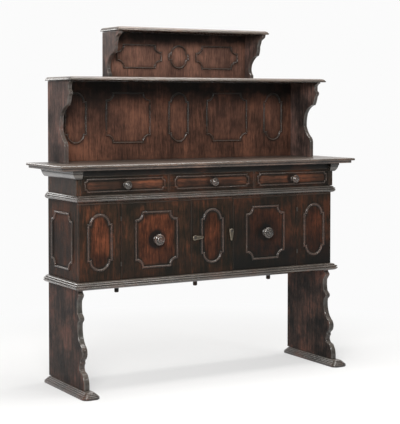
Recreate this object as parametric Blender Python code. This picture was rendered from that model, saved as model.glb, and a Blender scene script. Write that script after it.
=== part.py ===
"""Walnut credenza: a low two-door cupboard with three drawers on scrolled plank legs,
under a panelled gallery of two stepped tiers.

Metres, +Z up, front towards -Y. The origin is on the floor under the middle of the whole.
Every board starts SEAT above the level it stands on, and every applied piece starts SEAT
off the face that carries it.
"""
import math

import bmesh
import bpy
from mathutils import Matrix, Vector

for old in list(bpy.data.objects):
    bpy.data.objects.remove(old, do_unlink=True)

# Fits
SEAT = 0.0003              # between two fixed pieces that touch
RUN_GAP = 0.0003           # round a turning pin
DOOR_GAP = 0.0018          # round the free edges of a door
DRAWER_GAP = 0.001         # round a drawer front

# Feet and legs
FOOT_FRONT = 0.102         # how far a foot runs out in front of the case
FOOT_BACK = 0.007          # how far it runs out behind the case
FOOT_WIDTH = 0.080
FOOT_HEIGHT = 0.028
FOOT_CORNER = 0.026
FOOT_MOULDING = 0.022      # how far the top of a foot is drawn in
LEG_THICKNESS = 0.025
LEG_HEIGHT = 0.423
TENON_LENGTH = 0.200
TENON_THICKNESS = 0.012
TENON_DEPTH = 0.016

# Cupboard
CASE_WIDTH = 1.286
CASE_DEPTH = 0.316
BOARD_THICKNESS = 0.020
SIDE_THICKNESS = 0.018
BACK_THICKNESS = 0.016
CUPBOARD_HEIGHT = 0.325
FRONT_THICKNESS = 0.020
CENTRE_WIDTH = 0.212
DOOR_WIDTH = 0.341
STOP_WIDTH = 0.012         # lip of the centre panel behind each door
STOP_THICKNESS = 0.012
STOP_GAP = 0.001
LIP_DROP = 0.016           # front lip of the dust board below the board itself
DUST_THICKNESS = 0.020
PEG_RADIUS = 0.010
PEG_DROP = 0.057
PEG_CHAMFER = 0.003
PEG_DEPTH = 0.008          # of a dowel in the bottom board
PEG_SPACING = 0.395
PEG_SETBACK = 0.151

# Frieze with the drawers
FRIEZE_HEIGHT = 0.105
FRIEZE_SIDE = 0.012
POST_PROUD = 0.010         # corner strip of the frieze outside its side
POST_DEPTH = 0.040
POST_ROOT = 0.006          # of the strip in the side
POST_SET = 0.0005          # face and foot of the strip behind those of the side
RAIL_HEIGHT = 0.025
DIVIDER_WIDTH = 0.010
DIVIDER_SPACING = 0.436
DRAWER_FRONT = 0.019
DRAWER_WALL = 0.010
DRAWER_DEPTH = 0.262
DRAWER_WALL_HEIGHT = 0.066

# Mouldings round the case
BASE_DROP = 0.013          # base moulding below the bottom board
BASE_OUT = 0.024
WAIST_HEIGHT = 0.030
WAIST_OUT = 0.016
COVE_HEIGHT = 0.038
COVE_OUT = 0.034
COVE_FRONT = 0.018

# Table top
TOP_WIDTH = 1.490
TOP_THICKNESS = 0.023
TOP_OVERHANG = 0.053
TOP_STRIP = 0.012          # height and set-back of the strip under its edge
TOP_NOSE = 0.0045          # how far its edge is rounded over

# Gallery
LOWER_HEIGHT = 0.352
UPPER_HEIGHT = 0.203
UPPER_WIDTH = 0.760
BRACKET_THICKNESS = 0.019
PANEL_THICKNESS = 0.016
SHELF_WIDTH = 1.310
SHELF_DEPTH = 0.261
SHELF_THICKNESS = 0.016
TOP_SHELF_WIDTH = 0.780
TOP_SHELF_DEPTH = 0.179
TOP_SHELF_THICKNESS = 0.017
SHELF_LIP = 0.007
SHELF_FILLET = 0.003
SHELF_BEVEL = 0.020

# Cartouche mouldings, measured along the middle of the bead
BEAD_WIDTH = 0.0115
BEAD_HEIGHT = 0.0055
BEAD_SUNK = 0.001
NARROW_WIDTH = 0.107
DOOR_FIELD_WIDTH = 0.198
SIDE_FIELD_WIDTH = 0.204
FIELD_HEIGHT = 0.232
NOTCH_RADIUS = 0.033
EAR = 0.010
GALLERY_BEAD = 0.0095
GALLERY_NARROW = 0.100
GALLERY_FIELD_HEIGHT = 0.220
BACK_FIELD_WIDTH = 0.216
BACK_EDGE_MARGIN = 0.055
BACK_FIELD_RAISE = 0.013   # fields of the lower back above the middle of its height
UPPER_FIELD_WIDTH = 0.222
UPPER_FIELD_HEIGHT = 0.101
UPPER_FIELD_DROP = 0.005   # fields of the upper back below the middle of its height
UPPER_EDGE_MARGIN = 0.046
DRAWER_FIELD_WIDTH = 0.374
DRAWER_FIELD_HEIGHT = 0.050
DRAWER_BEAD = 0.008
DRAWER_NOTCH = 0.010

# Knobs, hinges and turn buttons
DOOR_KNOB_RADIUS = 0.025
DOOR_KNOB_REACH = 0.040
DRAWER_KNOB_RADIUS = 0.0185
DRAWER_KNOB_REACH = 0.037
STEM_RADIUS = 0.007
STEM_DEPTH = 0.014
HINGE_LENGTH = 0.018
HINGE_KNUCKLE = 0.0055
HINGE_OUTER = 0.0032
HINGE_PIN = 0.0015
LEAF_THICKNESS = 0.0008
LEAF_DEPTH = 0.015
HINGE_INSET = 0.065        # from a door's end to the middle of its hinge
BUTTON_HEAD = 0.011
BUTTON_TIP = 0.0045
BUTTON_ARM = 0.038
BUTTON_THICKNESS = 0.005
BUTTON_EDGE = 0.0125       # pivot to the edge of the centre panel
BUTTON_DROP = 0.004        # left-hand pivot below the middle of the doors
BUTTON_RAISE = 0.017       # right-hand pivot above it
PIVOT_RADIUS = 0.003
BOSS_HEIGHT = 0.008
BOSS_RADIUS = 0.006

# Levels and planes that follow from the sizes above
Z_BOARD = FOOT_HEIGHT + LEG_HEIGHT
Z_CUP = Z_BOARD + BOARD_THICKNESS
Z_WAIST = Z_CUP + CUPBOARD_HEIGHT
Z_DUST = Z_WAIST + LIP_DROP
Z_FRIEZE = Z_DUST + DUST_THICKNESS
Z_TOP = Z_FRIEZE + FRIEZE_HEIGHT
Z_RAIL = Z_TOP - RAIL_HEIGHT
Z_TABLE = Z_TOP + TOP_THICKNESS
Z_SHELF = Z_TABLE + LOWER_HEIGHT
Z_UPPER = Z_SHELF + SHELF_THICKNESS
Z_TOP_SHELF = Z_UPPER + UPPER_HEIGHT
BACK = (CASE_DEPTH + FOOT_FRONT - FOOT_BACK) / 2
FRONT = BACK - CASE_DEPTH
CASE_HALF = CASE_WIDTH / 2
FRIEZE_INNER = CASE_HALF - FRIEZE_SIDE
SEAM = 2 * LEAF_THICKNESS + 3 * SEAT       # hinge-side gap that holds both leaves
HINGE_PROUD = HINGE_OUTER + 2 * SEAT       # pin in front of the case front
DOOR_EDGE = CENTRE_WIDTH / 2 + DOOR_GAP
HINGE_X = DOOR_EDGE + DOOR_WIDTH + SEAM / 2
CENTRE_OPENING = DIVIDER_SPACING - DIVIDER_WIDTH
OUTER_OPENING = FRIEZE_INNER - (DIVIDER_SPACING + DIVIDER_WIDTH) / 2
OUTER_DRAWER = FRIEZE_INNER - OUTER_OPENING / 2

# Scrolled front edges from the bottom up: (distance in front of the reference edge,
# share of the plank's height, how far the stretch up to the next point bows outward)
LEG_SCROLL = (
    (0.046, 0.0, 0.0), (0.046, 0.047, 0.004), (0.027, 0.155, 0.0), (0.008, 0.172, -0.003),
    (0.000, 0.222, -0.001), (0.007, 0.250, 0.001), (0.006, 0.270, 0.0), (0.010, 0.288, 0.018),
    (0.011, 0.430, 0.0), (-0.002, 0.463, -0.007), (-0.0165, 0.643, 0.0), (-0.003, 0.674, 0.003),
    (-0.007, 0.711, 0.0), (-0.019, 0.735, -0.003), (-0.022, 0.863, 0.0), (-0.006, 0.908, 0.002),
    (-0.007, 0.933, 0.0), (-0.016, 0.953, 0.0), (-0.016, 1.0, 0.0),
)
LOWER_SCROLL = (
    (-0.085, 0.0, 0.0), (-0.085, 0.205, 0.004), (-0.104, 0.280, -0.004), (-0.137, 0.415, -0.003),
    (-0.127, 0.585, -0.008), (-0.066, 0.697, 0.002), (-0.049, 0.807, 0.0), (-0.040, 0.833, 0.002),
    (-0.040, 0.870, 0.0), (-0.050, 0.892, 0.0), (-0.050, 0.944, -0.003), (-0.029, 0.985, 0.0),
    (-0.029, 1.0, 0.0),
)
UPPER_SCROLL = (
    (-0.119, 0.0, 0.0), (-0.119, 0.090, -0.003), (-0.134, 0.205, -0.002), (-0.127, 0.345, -0.006),
    (-0.072, 0.530, 0.004), (-0.060, 0.730, 0.0), (-0.046, 0.870, 0.0), (-0.026, 0.915, 0.002),
    (-0.016, 0.975, 0.0), (-0.016, 1.0, 0.0),
)
# Two bold reeds under a sloping one: (share of the projection, share of the height from the bottom)
REEDS = (
    (0.06, 0.0), (0.42, 0.05), (0.72, 0.15), (0.92, 0.26), (1.0, 0.37), (0.97, 0.46), (0.89, 0.50),
    (0.95, 0.56), (0.96, 0.64), (0.86, 0.72), (0.68, 0.76), (0.64, 0.84), (0.42, 0.93), (0.12, 1.0),
)
# Rounded moulding under a fillet, with a flat underside
COVE_PROFILE = (
    (0.04, 0.0), (0.46, 0.04), (0.60, 0.14), (0.74, 0.30), (0.85, 0.48), (0.91, 0.62), (0.90, 0.68),
    (1.0, 0.72), (1.0, 1.0),
)


def material(name, colour, roughness, metallic=0.0):
    made = bpy.data.materials.new(name)
    made.use_nodes = True
    shader = made.node_tree.nodes["Principled BSDF"]
    shader.inputs["Base Color"].default_value = (*colour, 1.0)
    shader.inputs["Roughness"].default_value = roughness
    shader.inputs["Metallic"].default_value = metallic
    return made


WALNUT = material("dark_walnut", (0.050, 0.026, 0.016), 0.38)
PANEL = material("panel_walnut", (0.085, 0.038, 0.021), 0.36)
TURNED = material("turned_walnut", (0.035, 0.018, 0.012), 0.30)
INNER = material("inner_wood", (0.190, 0.120, 0.070), 0.70)
IRON = material("dark_iron", (0.060, 0.055, 0.050), 0.50, 0.9)
BRASS = material("dull_brass", (0.330, 0.240, 0.120), 0.42, 0.9)


def add_object(name, bm, look, parent=None, helper=False):
    """Make an object of a mesh drawn in place. Its origin is its parent empty, or its bottom centre."""
    bmesh.ops.recalc_face_normals(bm, faces=bm.faces)
    xs = [v.co.x for v in bm.verts]
    ys = [v.co.y for v in bm.verts]
    zs = [v.co.z for v in bm.verts]
    origin = Vector(((min(xs) + max(xs)) / 2, (min(ys) + max(ys)) / 2, min(zs)))
    if parent:
        origin = parent.location.copy()
    bmesh.ops.translate(bm, verts=bm.verts, vec=-origin)
    mesh = bpy.data.meshes.new(name)
    bm.to_mesh(mesh)
    bm.free()
    mesh.shade_smooth()
    mesh.set_sharp_from_angle(angle=math.radians(32))
    made = bpy.data.objects.new(name, mesh)
    bpy.context.collection.objects.link(made)
    if look:
        mesh.materials.append(look)
    if parent:
        made.parent = parent
    else:
        made.location = origin
    if helper:
        made.hide_render = True
        made.display_type = "WIRE"
    return made


def combine(target, bm, operation):
    """Add a drawn mesh to an object, or take it away, with a Boolean modifier."""
    count = len(target.modifiers) + 1
    tool = add_object(f"tool_{target.name}_{count}", bm, None, target.parent, helper=True)
    step = target.modifiers.new(f"{operation.lower()}_{count}", "BOOLEAN")
    step.operation = operation
    step.object = tool
    step.solver = "EXACT"


def joint_empty(name, place):
    empty = bpy.data.objects.new(name, None)
    empty.location = place
    bpy.context.collection.objects.link(empty)
    return empty


def loft(loops, closed_ends=True, ring=False):
    """Skin equal closed loops of points; with ring the last loop joins the first."""
    bm = bmesh.new()
    rows = [[bm.verts.new(p) for p in loop] for loop in loops]
    pairs = list(zip(rows, rows[1:]))
    if ring:
        pairs.append((rows[-1], rows[0]))
    for low, high in pairs:
        for i in range(len(low)):
            j = (i + 1) % len(low)
            bm.faces.new((low[i], low[j], high[j], high[i]))
    if closed_ends and not ring:
        bm.faces.new(rows[0])
        bm.faces.new(rows[-1])
    return bm


def box(low, high):
    (x0, y0, z0), (x1, y1, z1) = low, high
    plan = ((x0, y0), (x1, y0), (x1, y1), (x0, y1))
    return loft([[(x, y, z) for x, y in plan] for z in (z0, z1)])


def turn(profile, place, segments):
    """Turn a closed-ended (radius, height) profile; place maps a local point to the part."""
    bm = bmesh.new()
    rows = []
    for radius, height in profile:
        if radius == 0:
            rows.append([bm.verts.new(place(0, 0, height))])
            continue
        angles = [math.tau * i / segments for i in range(segments)]
        rows.append([bm.verts.new(place(radius * math.cos(a), radius * math.sin(a), height))
                     for a in angles])
    for low, high in zip(rows, rows[1:]):
        for i in range(segments):
            j = (i + 1) % segments
            corners = [low[i % len(low)], low[j % len(low)], high[j % len(high)], high[i % len(high)]]
            bm.faces.new(list(dict.fromkeys(corners)))
    for row in (rows[0], rows[-1]):
        if len(row) > 1:
            bm.faces.new(row)
    return bm


def rod(radius, low, high, place, segments=16):
    return turn(((radius, low), (radius, high)), place, segments)


def forward_of(x, y, z):
    """Local frame whose height axis points out of the case front."""
    return lambda u, v, h: (x + u, y - h, z + v)


def upright_at(x, y, z):
    return lambda u, v, h: (x + u, y + v, z + h)


def bowed(nodes, steps=5):
    """Points along a chain of straight and bowed stretches; a positive bow is to the right."""
    points = []
    for (u0, v0, bow), (u1, v1, _) in zip(nodes, nodes[1:]):
        chord = math.hypot(u1 - u0, v1 - v0)
        points.append((u0, v0))
        if bow == 0:
            continue
        du = (u1 - u0) / chord
        dv = (v1 - v0) / chord
        radius = (chord * chord / 4 + bow * bow) / (2 * abs(bow))
        half = 2 * math.atan2(2 * abs(bow), chord)
        for k in range(1, steps):
            angle = -half + 2 * half * k / steps
            along = chord / 2 + radius * math.sin(angle)
            out = math.copysign(radius * math.cos(angle) - (radius - abs(bow)), bow)
            points.append((u0 + du * along + dv * out, v0 + dv * along - du * out))
    points.append(nodes[-1][:2])
    return points


def plank(name, x_outer, x_inner, scroll, edge, low, high):
    """Upright plank with a scrolled front edge, drawn in front of the line y = edge."""
    nodes = [(out, low + share * (high - low), bow) for out, share, bow in scroll]
    outline = [(edge - out, z) for out, z in bowed(nodes)]
    outline += [(BACK, high), (BACK, low)]
    loops = [[(x, y, z) for y, z in outline] for x in (x_outer, x_inner)]
    return add_object(name, loft(loops), WALNUT)


def stacked_board(name, levels, look):
    """Board with a moulded edge on the front and both ends: levels of (z, half width, front y)."""
    loops = []
    for z, half, front in levels:
        loops.append([(-half, front, z), (half, front, z), (half, BACK, z), (-half, BACK, z)])
    return add_object(name, loft(loops), look)


def shelf(name, half, depth, low, thickness):
    """Gallery shelf with a thin lower lip and a rounded edge that falls to it."""
    levels = [(low + SEAT, half, BACK - depth), (low + SHELF_LIP, half, BACK - depth)]
    rise = thickness - SHELF_LIP
    for k in range(5):
        angle = math.pi / 2 * k / 4
        inset = SHELF_FILLET + (SHELF_BEVEL - SHELF_FILLET) * (1 - math.cos(angle))
        levels.append((low + SHELF_LIP + rise * math.sin(angle), half - inset, BACK - depth + inset))
    return stacked_board(name, levels, WALNUT)


def case_moulding(stem, profile, half, low, height, out):
    """Front run and two side runs of one profile, mitred at the front corners."""
    points = [(share_out * out, low + share_up * height) for share_out, share_up in profile]
    points += [(SEAT, low + height), (SEAT, low)]
    loops = []
    for side in (-1, 1):
        loops.append([(side * (half + d - SEAT), FRONT - d, z) for d, z in points])
    add_object(f"{stem}_front", loft(loops), WALNUT)
    for side, word in ((-1, "left"), (1, "right")):
        loops = [
            [(side * (half + d), FRONT - d + SEAT, z) for d, z in points],
            [(side * (half + d), BACK, z) for d, z in points],
        ]
        add_object(f"{stem}_{word}", loft(loops), WALNUT)


def notched_outline(width, height, radius, steps=4):
    """Rectangle with a concave quarter circle in place of each corner, anticlockwise."""
    points = []
    for k, (sx, sz) in enumerate(((1, -1), (1, 1), (-1, 1), (-1, -1))):
        for i in range(steps + 1):
            angle = math.radians(180 + 90 * k - 90 * i / steps)
            points.append((sx * width / 2 + radius * math.cos(angle),
                           sz * height / 2 + radius * math.sin(angle)))
    return points


def arched_outline(width, height, steps=8):
    """Upright panel with a round arch and two ears at each end, anticlockwise."""
    radius = width / 2 - EAR
    spring = height / 2 - radius
    top = [(width / 2, spring)]
    for i in range(steps + 1):
        angle = math.pi * i / steps
        top.append((radius * math.cos(angle), spring + radius * math.sin(angle)))
    top.append((-width / 2, spring))
    return top + [(-u, -v) for u, v in top]


def bead(outline, place, width=BEAD_WIDTH):
    """Moulding laid along a closed outline, sunk a little into the board that carries it."""
    half = width / 2
    section = (
        (half, -BEAD_SUNK), (half, 0.28 * BEAD_HEIGHT), (0.42 * half, 0.94 * BEAD_HEIGHT),
        (-0.28 * half, BEAD_HEIGHT), (-half, 0.22 * BEAD_HEIGHT), (-half, -BEAD_SUNK),
    )
    loops = []
    count = len(outline)
    for i, (u, v) in enumerate(outline):
        before = Vector((u - outline[i - 1][0], v - outline[i - 1][1])).normalized()
        after = outline[(i + 1) % count]
        after = Vector((after[0] - u, after[1] - v)).normalized()
        first = Vector((before.y, -before.x))
        second = Vector((after.y, -after.x))
        mitre = (first + second) / (1 + first.dot(second))
        loops.append([place(u + mitre.x * out, v + mitre.y * out, h) for out, h in section])
    return loft(loops, ring=True)


def knob(name, x, z, radius, reach, parent):
    """Turned mushroom knob with a ringed face, on a stem let into the board behind it."""
    profile = (
        (0, -STEM_DEPTH), (STEM_RADIUS, -STEM_DEPTH), (STEM_RADIUS, SEAT),
        (0.62 * radius, SEAT), (0.62 * radius, 0.07 * reach), (0.42 * radius, 0.20 * reach),
        (0.46 * radius, 0.42 * reach), (0.86 * radius, 0.58 * reach), (radius, 0.72 * reach),
        (0.94 * radius, 0.84 * reach), (0.66 * radius, 0.91 * reach),
        (0.56 * radius, 0.89 * reach), (0.36 * radius, 0.96 * reach), (0, reach),
    )
    return add_object(name, turn(profile, forward_of(x, FRONT, z), 18), TURNED, parent)


def stem_hole(target, x, z):
    depth = STEM_DEPTH + SEAT
    hole = rod(STEM_RADIUS + SEAT, -depth, 0.001, forward_of(x, FRONT, z), 18)
    combine(target, hole, "DIFFERENCE")


# Feet: a moulded sled under each leg, with a mortise for the leg's tenon
def foot_loop(x, z, inset):
    corner = FOOT_CORNER - 0.8 * inset
    points = []
    for k, (sx, sy) in enumerate(((1, 1), (-1, 1), (-1, -1), (1, -1))):
        cx = x + sx * (FOOT_WIDTH / 2 - inset - corner)
        end = BACK + FOOT_BACK if sy > 0 else FRONT - FOOT_FRONT
        cy = end - sy * (inset + corner)
        for i in range(4):
            angle = math.radians(90 * k + 30 * i)
            points.append((cx + corner * math.cos(angle), cy + corner * math.sin(angle), z))
    return points


# Edge of a foot from the floor up: (share of the moulding drawn in, share of the height)
FOOT_PROFILE = (
    (0.12, 0.0), (0.0, 0.10), (0.0, 0.34), (0.10, 0.46), (0.20, 0.44), (0.27, 0.56), (0.41, 0.66),
    (0.50, 0.63), (0.57, 0.75), (0.72, 0.86), (0.82, 0.83), (0.89, 0.94), (1.0, 1.0),
)
for side, word in ((-1, "left"), (1, "right")):
    middle = side * (CASE_HALF - LEG_THICKNESS / 2)
    foot = add_object(f"{word}_foot", loft([foot_loop(middle, up * FOOT_HEIGHT, drawn * FOOT_MOULDING)
                                            for drawn, up in FOOT_PROFILE]), WALNUT)
    leg = plank(f"{word}_leg", side * CASE_HALF, side * (CASE_HALF - LEG_THICKNESS), LEG_SCROLL,
                FRONT, FOOT_HEIGHT + SEAT, Z_BOARD)
    centre = (FRONT - LEG_SCROLL[0][0] + BACK) / 2
    for target, grow, operation in ((leg, 0.0, "UNION"), (foot, SEAT, "DIFFERENCE")):
        low = (middle - TENON_THICKNESS / 2 - grow, centre - TENON_LENGTH / 2 - grow,
               FOOT_HEIGHT - TENON_DEPTH - grow)
        high = (middle + TENON_THICKNESS / 2 + grow, centre + TENON_LENGTH / 2 + grow,
                FOOT_HEIGHT + 0.004)
        combine(target, box(low, high), operation)

# Bottom board with its three dowels that show below, and the moulding round it
bottom = add_object("bottom_board", box((-CASE_HALF, FRONT, Z_BOARD + SEAT), (CASE_HALF, BACK, Z_CUP)), WALNUT)
for k in (-1, 0, 1):
    dowel = ((0, -PEG_DROP), (PEG_RADIUS - PEG_CHAMFER, -PEG_DROP), (PEG_RADIUS, PEG_CHAMFER - PEG_DROP),
             (PEG_RADIUS, PEG_DEPTH), (0, PEG_DEPTH))
    combine(bottom, turn(dowel, upright_at(k * PEG_SPACING, FRONT + PEG_SETBACK, Z_BOARD), 16), "UNION")
case_moulding("base_moulding", REEDS, CASE_HALF, Z_BOARD - BASE_DROP, BOARD_THICKNESS + BASE_DROP, BASE_OUT)

# Cupboard sides and back
for side, word in ((-1, "left"), (1, "right")):
    xs = sorted((side * CASE_HALF, side * (CASE_HALF - SIDE_THICKNESS)))
    y_low = FRONT + FRONT_THICKNESS + SEAT
    board = add_object(f"{word}_case_side",
                       box((xs[0], y_low, Z_CUP + SEAT), (xs[1], BACK, Z_DUST)), PANEL)
    y_mid = (y_low + BACK) / 2
    z_mid = (Z_CUP + Z_WAIST) / 2

    def on_side(u, v, h, side=side, y_mid=y_mid, z_mid=z_mid):
        return (side * (CASE_HALF + h), y_mid + u, z_mid + v)

    combine(board, bead(notched_outline(SIDE_FIELD_WIDTH, FIELD_HEIGHT, NOTCH_RADIUS), on_side), "UNION")
inner = CASE_HALF - SIDE_THICKNESS - SEAT
add_object("case_back", box((-inner, BACK - BACK_THICKNESS, Z_CUP + SEAT), (inner, BACK, Z_DUST)), INNER)

# Fixed front panels, doors with their knobs, and hinges
z_mid = (Z_CUP + Z_WAIST) / 2
panel_low = Z_CUP + SEAT
panel_high = Z_WAIST
half = CENTRE_WIDTH / 2
step = FRONT + FRONT_THICKNESS + STOP_GAP
plan = [(-half, FRONT), (half, FRONT), (half, step), (half + STOP_WIDTH, step),
        (half + STOP_WIDTH, step + STOP_THICKNESS), (-half - STOP_WIDTH, step + STOP_THICKNESS),
        (-half - STOP_WIDTH, step), (-half, step)]
centre_panel = add_object("centre_front_panel",
                          loft([[(x, y, z) for x, y in plan] for z in (panel_low, panel_high)]), PANEL)
combine(centre_panel, bead(arched_outline(NARROW_WIDTH, FIELD_HEIGHT), forward_of(0, FRONT, z_mid)), "UNION")


def hinge(stem, side, z, parent):
    """Small butt hinge: a frame half that carries the pin, and a door half that turns on it."""
    axis_y = FRONT - HINGE_PROUD
    x = side * HINGE_X
    end = HINGE_LENGTH / 2
    inside = end - HINGE_KNUCKLE
    profile = ((HINGE_OUTER, -end), (HINGE_OUTER, -inside), (HINGE_PIN, -inside),
               (HINGE_PIN, inside), (HINGE_OUTER, inside), (HINGE_OUTER, end))
    spool = add_object(f"{stem}_frame_half", turn(profile, upright_at(x, axis_y, z), 12), IRON)
    back = FRONT + LEAF_DEPTH
    notch = FRONT + SEAT
    leaf = [(axis_y, -end), (back, -end), (back, end), (axis_y, end), (axis_y, inside),
            (notch, inside), (notch, -inside), (axis_y, -inside)]
    near = SEAT / 2
    far = near + LEAF_THICKNESS
    combine(spool, loft([[(x + side * d, y, z + v) for y, v in leaf] for d in (near, far)]), "UNION")

    length = inside - RUN_GAP
    bore = HINGE_PIN + RUN_GAP
    tube = []
    for i in range(12):
        a = math.tau * i / 12
        tube.append([(x + r * math.cos(a), axis_y + r * math.sin(a), z + v)
                     for r, v in ((bore, -length), (HINGE_OUTER, -length), (HINGE_OUTER, length), (bore, length))])
    sleeve = add_object(f"{stem}_door_half", loft(tube, ring=True), IRON, parent)
    root = axis_y + (bore + HINGE_OUTER) / 2
    leaf = [(root, -length), (notch, -length), (notch, -end), (back, -end), (back, end), (notch, end),
            (notch, length), (root, length)]
    combine(sleeve, loft([[(x - side * d, y, z + v) for y, v in leaf] for d in (near, far)]), "UNION")


for side, word in ((-1, "left"), (1, "right")):
    edge = HINGE_X + SEAM / 2
    xs = sorted((side * edge, side * CASE_HALF))
    fixed = add_object(f"{word}_front_panel",
                       box((xs[0], FRONT, panel_low), (xs[1], FRONT + FRONT_THICKNESS, panel_high)), PANEL)
    x = sum(xs) / 2
    combine(fixed, bead(arched_outline(NARROW_WIDTH, FIELD_HEIGHT), forward_of(x, FRONT, z_mid)), "UNION")

    axis = joint_empty(f"{word}_door_axis", (side * HINGE_X, FRONT - HINGE_PROUD, z_mid))
    low = Z_CUP + DOOR_GAP
    high = Z_WAIST - DOOR_GAP
    xs = sorted((side * DOOR_EDGE, side * (DOOR_EDGE + DOOR_WIDTH)))
    door = add_object(f"{word}_door",
                      box((xs[0], FRONT, low), (xs[1], FRONT + FRONT_THICKNESS, high)), PANEL, axis)
    x = sum(xs) / 2
    combine(door, bead(notched_outline(DOOR_FIELD_WIDTH, FIELD_HEIGHT, NOTCH_RADIUS),
                       forward_of(x, FRONT, z_mid)), "UNION")
    stem_hole(door, x, z_mid)
    knob(f"{word}_door_knob", x, z_mid, DOOR_KNOB_RADIUS, DOOR_KNOB_REACH, axis)
    hinge(f"{word}_lower_hinge", side, low + HINGE_INSET, axis)
    hinge(f"{word}_upper_hinge", side, high - HINGE_INSET, axis)

# Turn buttons on the centre panel, each on its own pivot
def button_outline():
    """Round head about the pivot and a tapering arm along +u, anticlockwise."""
    lean = math.acos((BUTTON_HEAD - BUTTON_TIP) / BUTTON_ARM)
    points = []
    for i in range(13):
        angle = lean + (math.tau - 2 * lean) * i / 12
        points.append((BUTTON_HEAD * math.cos(angle), BUTTON_HEAD * math.sin(angle)))
    for i in range(7):
        angle = -lean + 2 * lean * i / 6
        points.append((BUTTON_ARM + BUTTON_TIP * math.cos(angle), BUTTON_TIP * math.sin(angle)))
    return points


for side, word, rise, heading in ((-1, "left", -BUTTON_DROP, 0.0), (1, "right", BUTTON_RAISE, -math.pi / 2)):
    x = side * (half - BUTTON_EDGE)
    z = z_mid + rise
    place = forward_of(x, FRONT, z)
    seat = BOSS_HEIGHT + RUN_GAP
    face = seat + BUTTON_THICKNESS
    head = face + RUN_GAP
    journal = PIVOT_RADIUS + RUN_GAP
    profile = ((0, -STEM_DEPTH), (PIVOT_RADIUS, -STEM_DEPTH), (PIVOT_RADIUS, SEAT), (BOSS_RADIUS, SEAT),
               (BOSS_RADIUS, BOSS_HEIGHT), (PIVOT_RADIUS, BOSS_HEIGHT), (PIVOT_RADIUS, head),
               (BOSS_RADIUS, head), (0.7 * BOSS_RADIUS, head + 0.002), (0, head + 0.003))
    add_object(f"{word}_button_pivot", turn(profile, place, 14), IRON)
    depth = STEM_DEPTH + SEAT
    combine(centre_panel, rod(PIVOT_RADIUS + SEAT, -depth, 0.001, place, 14), "DIFFERENCE")
    spin = Matrix.Rotation(heading, 2)
    outline = [spin @ Vector(p) for p in button_outline()]
    loops = [[place(p.x, p.y, h) for p in outline] for h in (seat, face)]
    axis = joint_empty(f"{word}_button_axis", place(0, 0, seat))
    plate = add_object(f"{word}_turn_button", loft(loops), BRASS, axis)
    combine(plate, rod(journal, seat - 0.001, face + 0.001, place, 14), "DIFFERENCE")

# Dust board with its front lip, and the moulding round the waist
lip = FRONT + FRONT_THICKNESS
section = [(FRONT, Z_WAIST + SEAT), (lip, Z_WAIST + SEAT), (lip, Z_DUST + SEAT), (BACK, Z_DUST + SEAT),
           (BACK, Z_FRIEZE), (FRONT, Z_FRIEZE)]
add_object("dust_board", loft([[(x, y, z) for y, z in section] for x in (-CASE_HALF, CASE_HALF)]), WALNUT)
case_moulding("waist_moulding", REEDS, CASE_HALF, Z_FRIEZE - WAIST_HEIGHT, WAIST_HEIGHT - SEAT, WAIST_OUT)

# Frieze: sides with a proud strip at the front corner, back, top rail and drawer dividers
for side, word in ((-1, "left"), (1, "right")):
    foot_z = Z_FRIEZE + SEAT
    xs = sorted((side * FRIEZE_INNER, side * CASE_HALF))
    board = add_object(f"{word}_frieze_side", box((xs[0], FRONT, foot_z), (xs[1], BACK, Z_TOP)), WALNUT)
    xs = sorted((side * (CASE_HALF - POST_ROOT), side * (CASE_HALF + POST_PROUD)))
    combine(board, box((xs[0], FRONT + POST_SET, foot_z + POST_SET),
                       (xs[1], FRONT + POST_DEPTH, Z_TOP - COVE_HEIGHT - SEAT)), "UNION")
inner = FRIEZE_INNER - SEAT
back_face = BACK - BACK_THICKNESS
add_object("frieze_back", box((-inner, back_face, Z_FRIEZE + SEAT), (inner, BACK, Z_TOP)), INNER)
add_object("top_rail", box((-inner, FRONT, Z_RAIL), (inner, FRONT + FRONT_THICKNESS, Z_TOP)), WALNUT)
for side, word in ((-1, "left"), (1, "right")):
    x = side * DIVIDER_SPACING / 2
    add_object(f"{word}_drawer_divider",
               box((x - DIVIDER_WIDTH / 2, FRONT, Z_FRIEZE + SEAT),
                   (x + DIVIDER_WIDTH / 2, back_face - SEAT, Z_RAIL - SEAT)), WALNUT)

# Drawers: a moulded front with a knob, and a box of bottom, two sides and back
for k, word in ((-1, "left"), (0, "centre"), (1, "right")):
    x = k * OUTER_DRAWER
    low = Z_FRIEZE + DRAWER_GAP
    high = Z_RAIL - DRAWER_GAP
    z = (low + high) / 2
    axis = joint_empty(f"{word}_drawer_axis", (x, FRONT, z))
    wide = (OUTER_OPENING if k else CENTRE_OPENING) / 2 - DRAWER_GAP
    front = add_object(f"{word}_drawer_front",
                       box((x - wide, FRONT, low), (x + wide, FRONT + DRAWER_FRONT, high)), PANEL, axis)
    outline = notched_outline(DRAWER_FIELD_WIDTH, DRAWER_FIELD_HEIGHT, DRAWER_NOTCH, 2)
    combine(front, bead(outline, forward_of(x, FRONT, z), DRAWER_BEAD), "UNION")
    stem_hole(front, x, z)
    knob(f"{word}_drawer_knob", x, z, DRAWER_KNOB_RADIUS, DRAWER_KNOB_REACH, axis)
    start = FRONT + DRAWER_FRONT + SEAT
    wide = wide - DRAWER_GAP
    floor = Z_FRIEZE + SEAT
    tray = add_object(f"{word}_drawer_box",
                      box((x - wide, start, floor), (x + wide, start + DRAWER_DEPTH, floor + DRAWER_WALL_HEIGHT)),
                      INNER, axis)
    hollow = box((x - wide + DRAWER_WALL, start - 0.01, floor + DRAWER_WALL),
                 (x + wide - DRAWER_WALL, start + DRAWER_DEPTH - DRAWER_WALL, floor + DRAWER_WALL_HEIGHT + 0.01))
    combine(tray, hollow, "DIFFERENCE")

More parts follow.
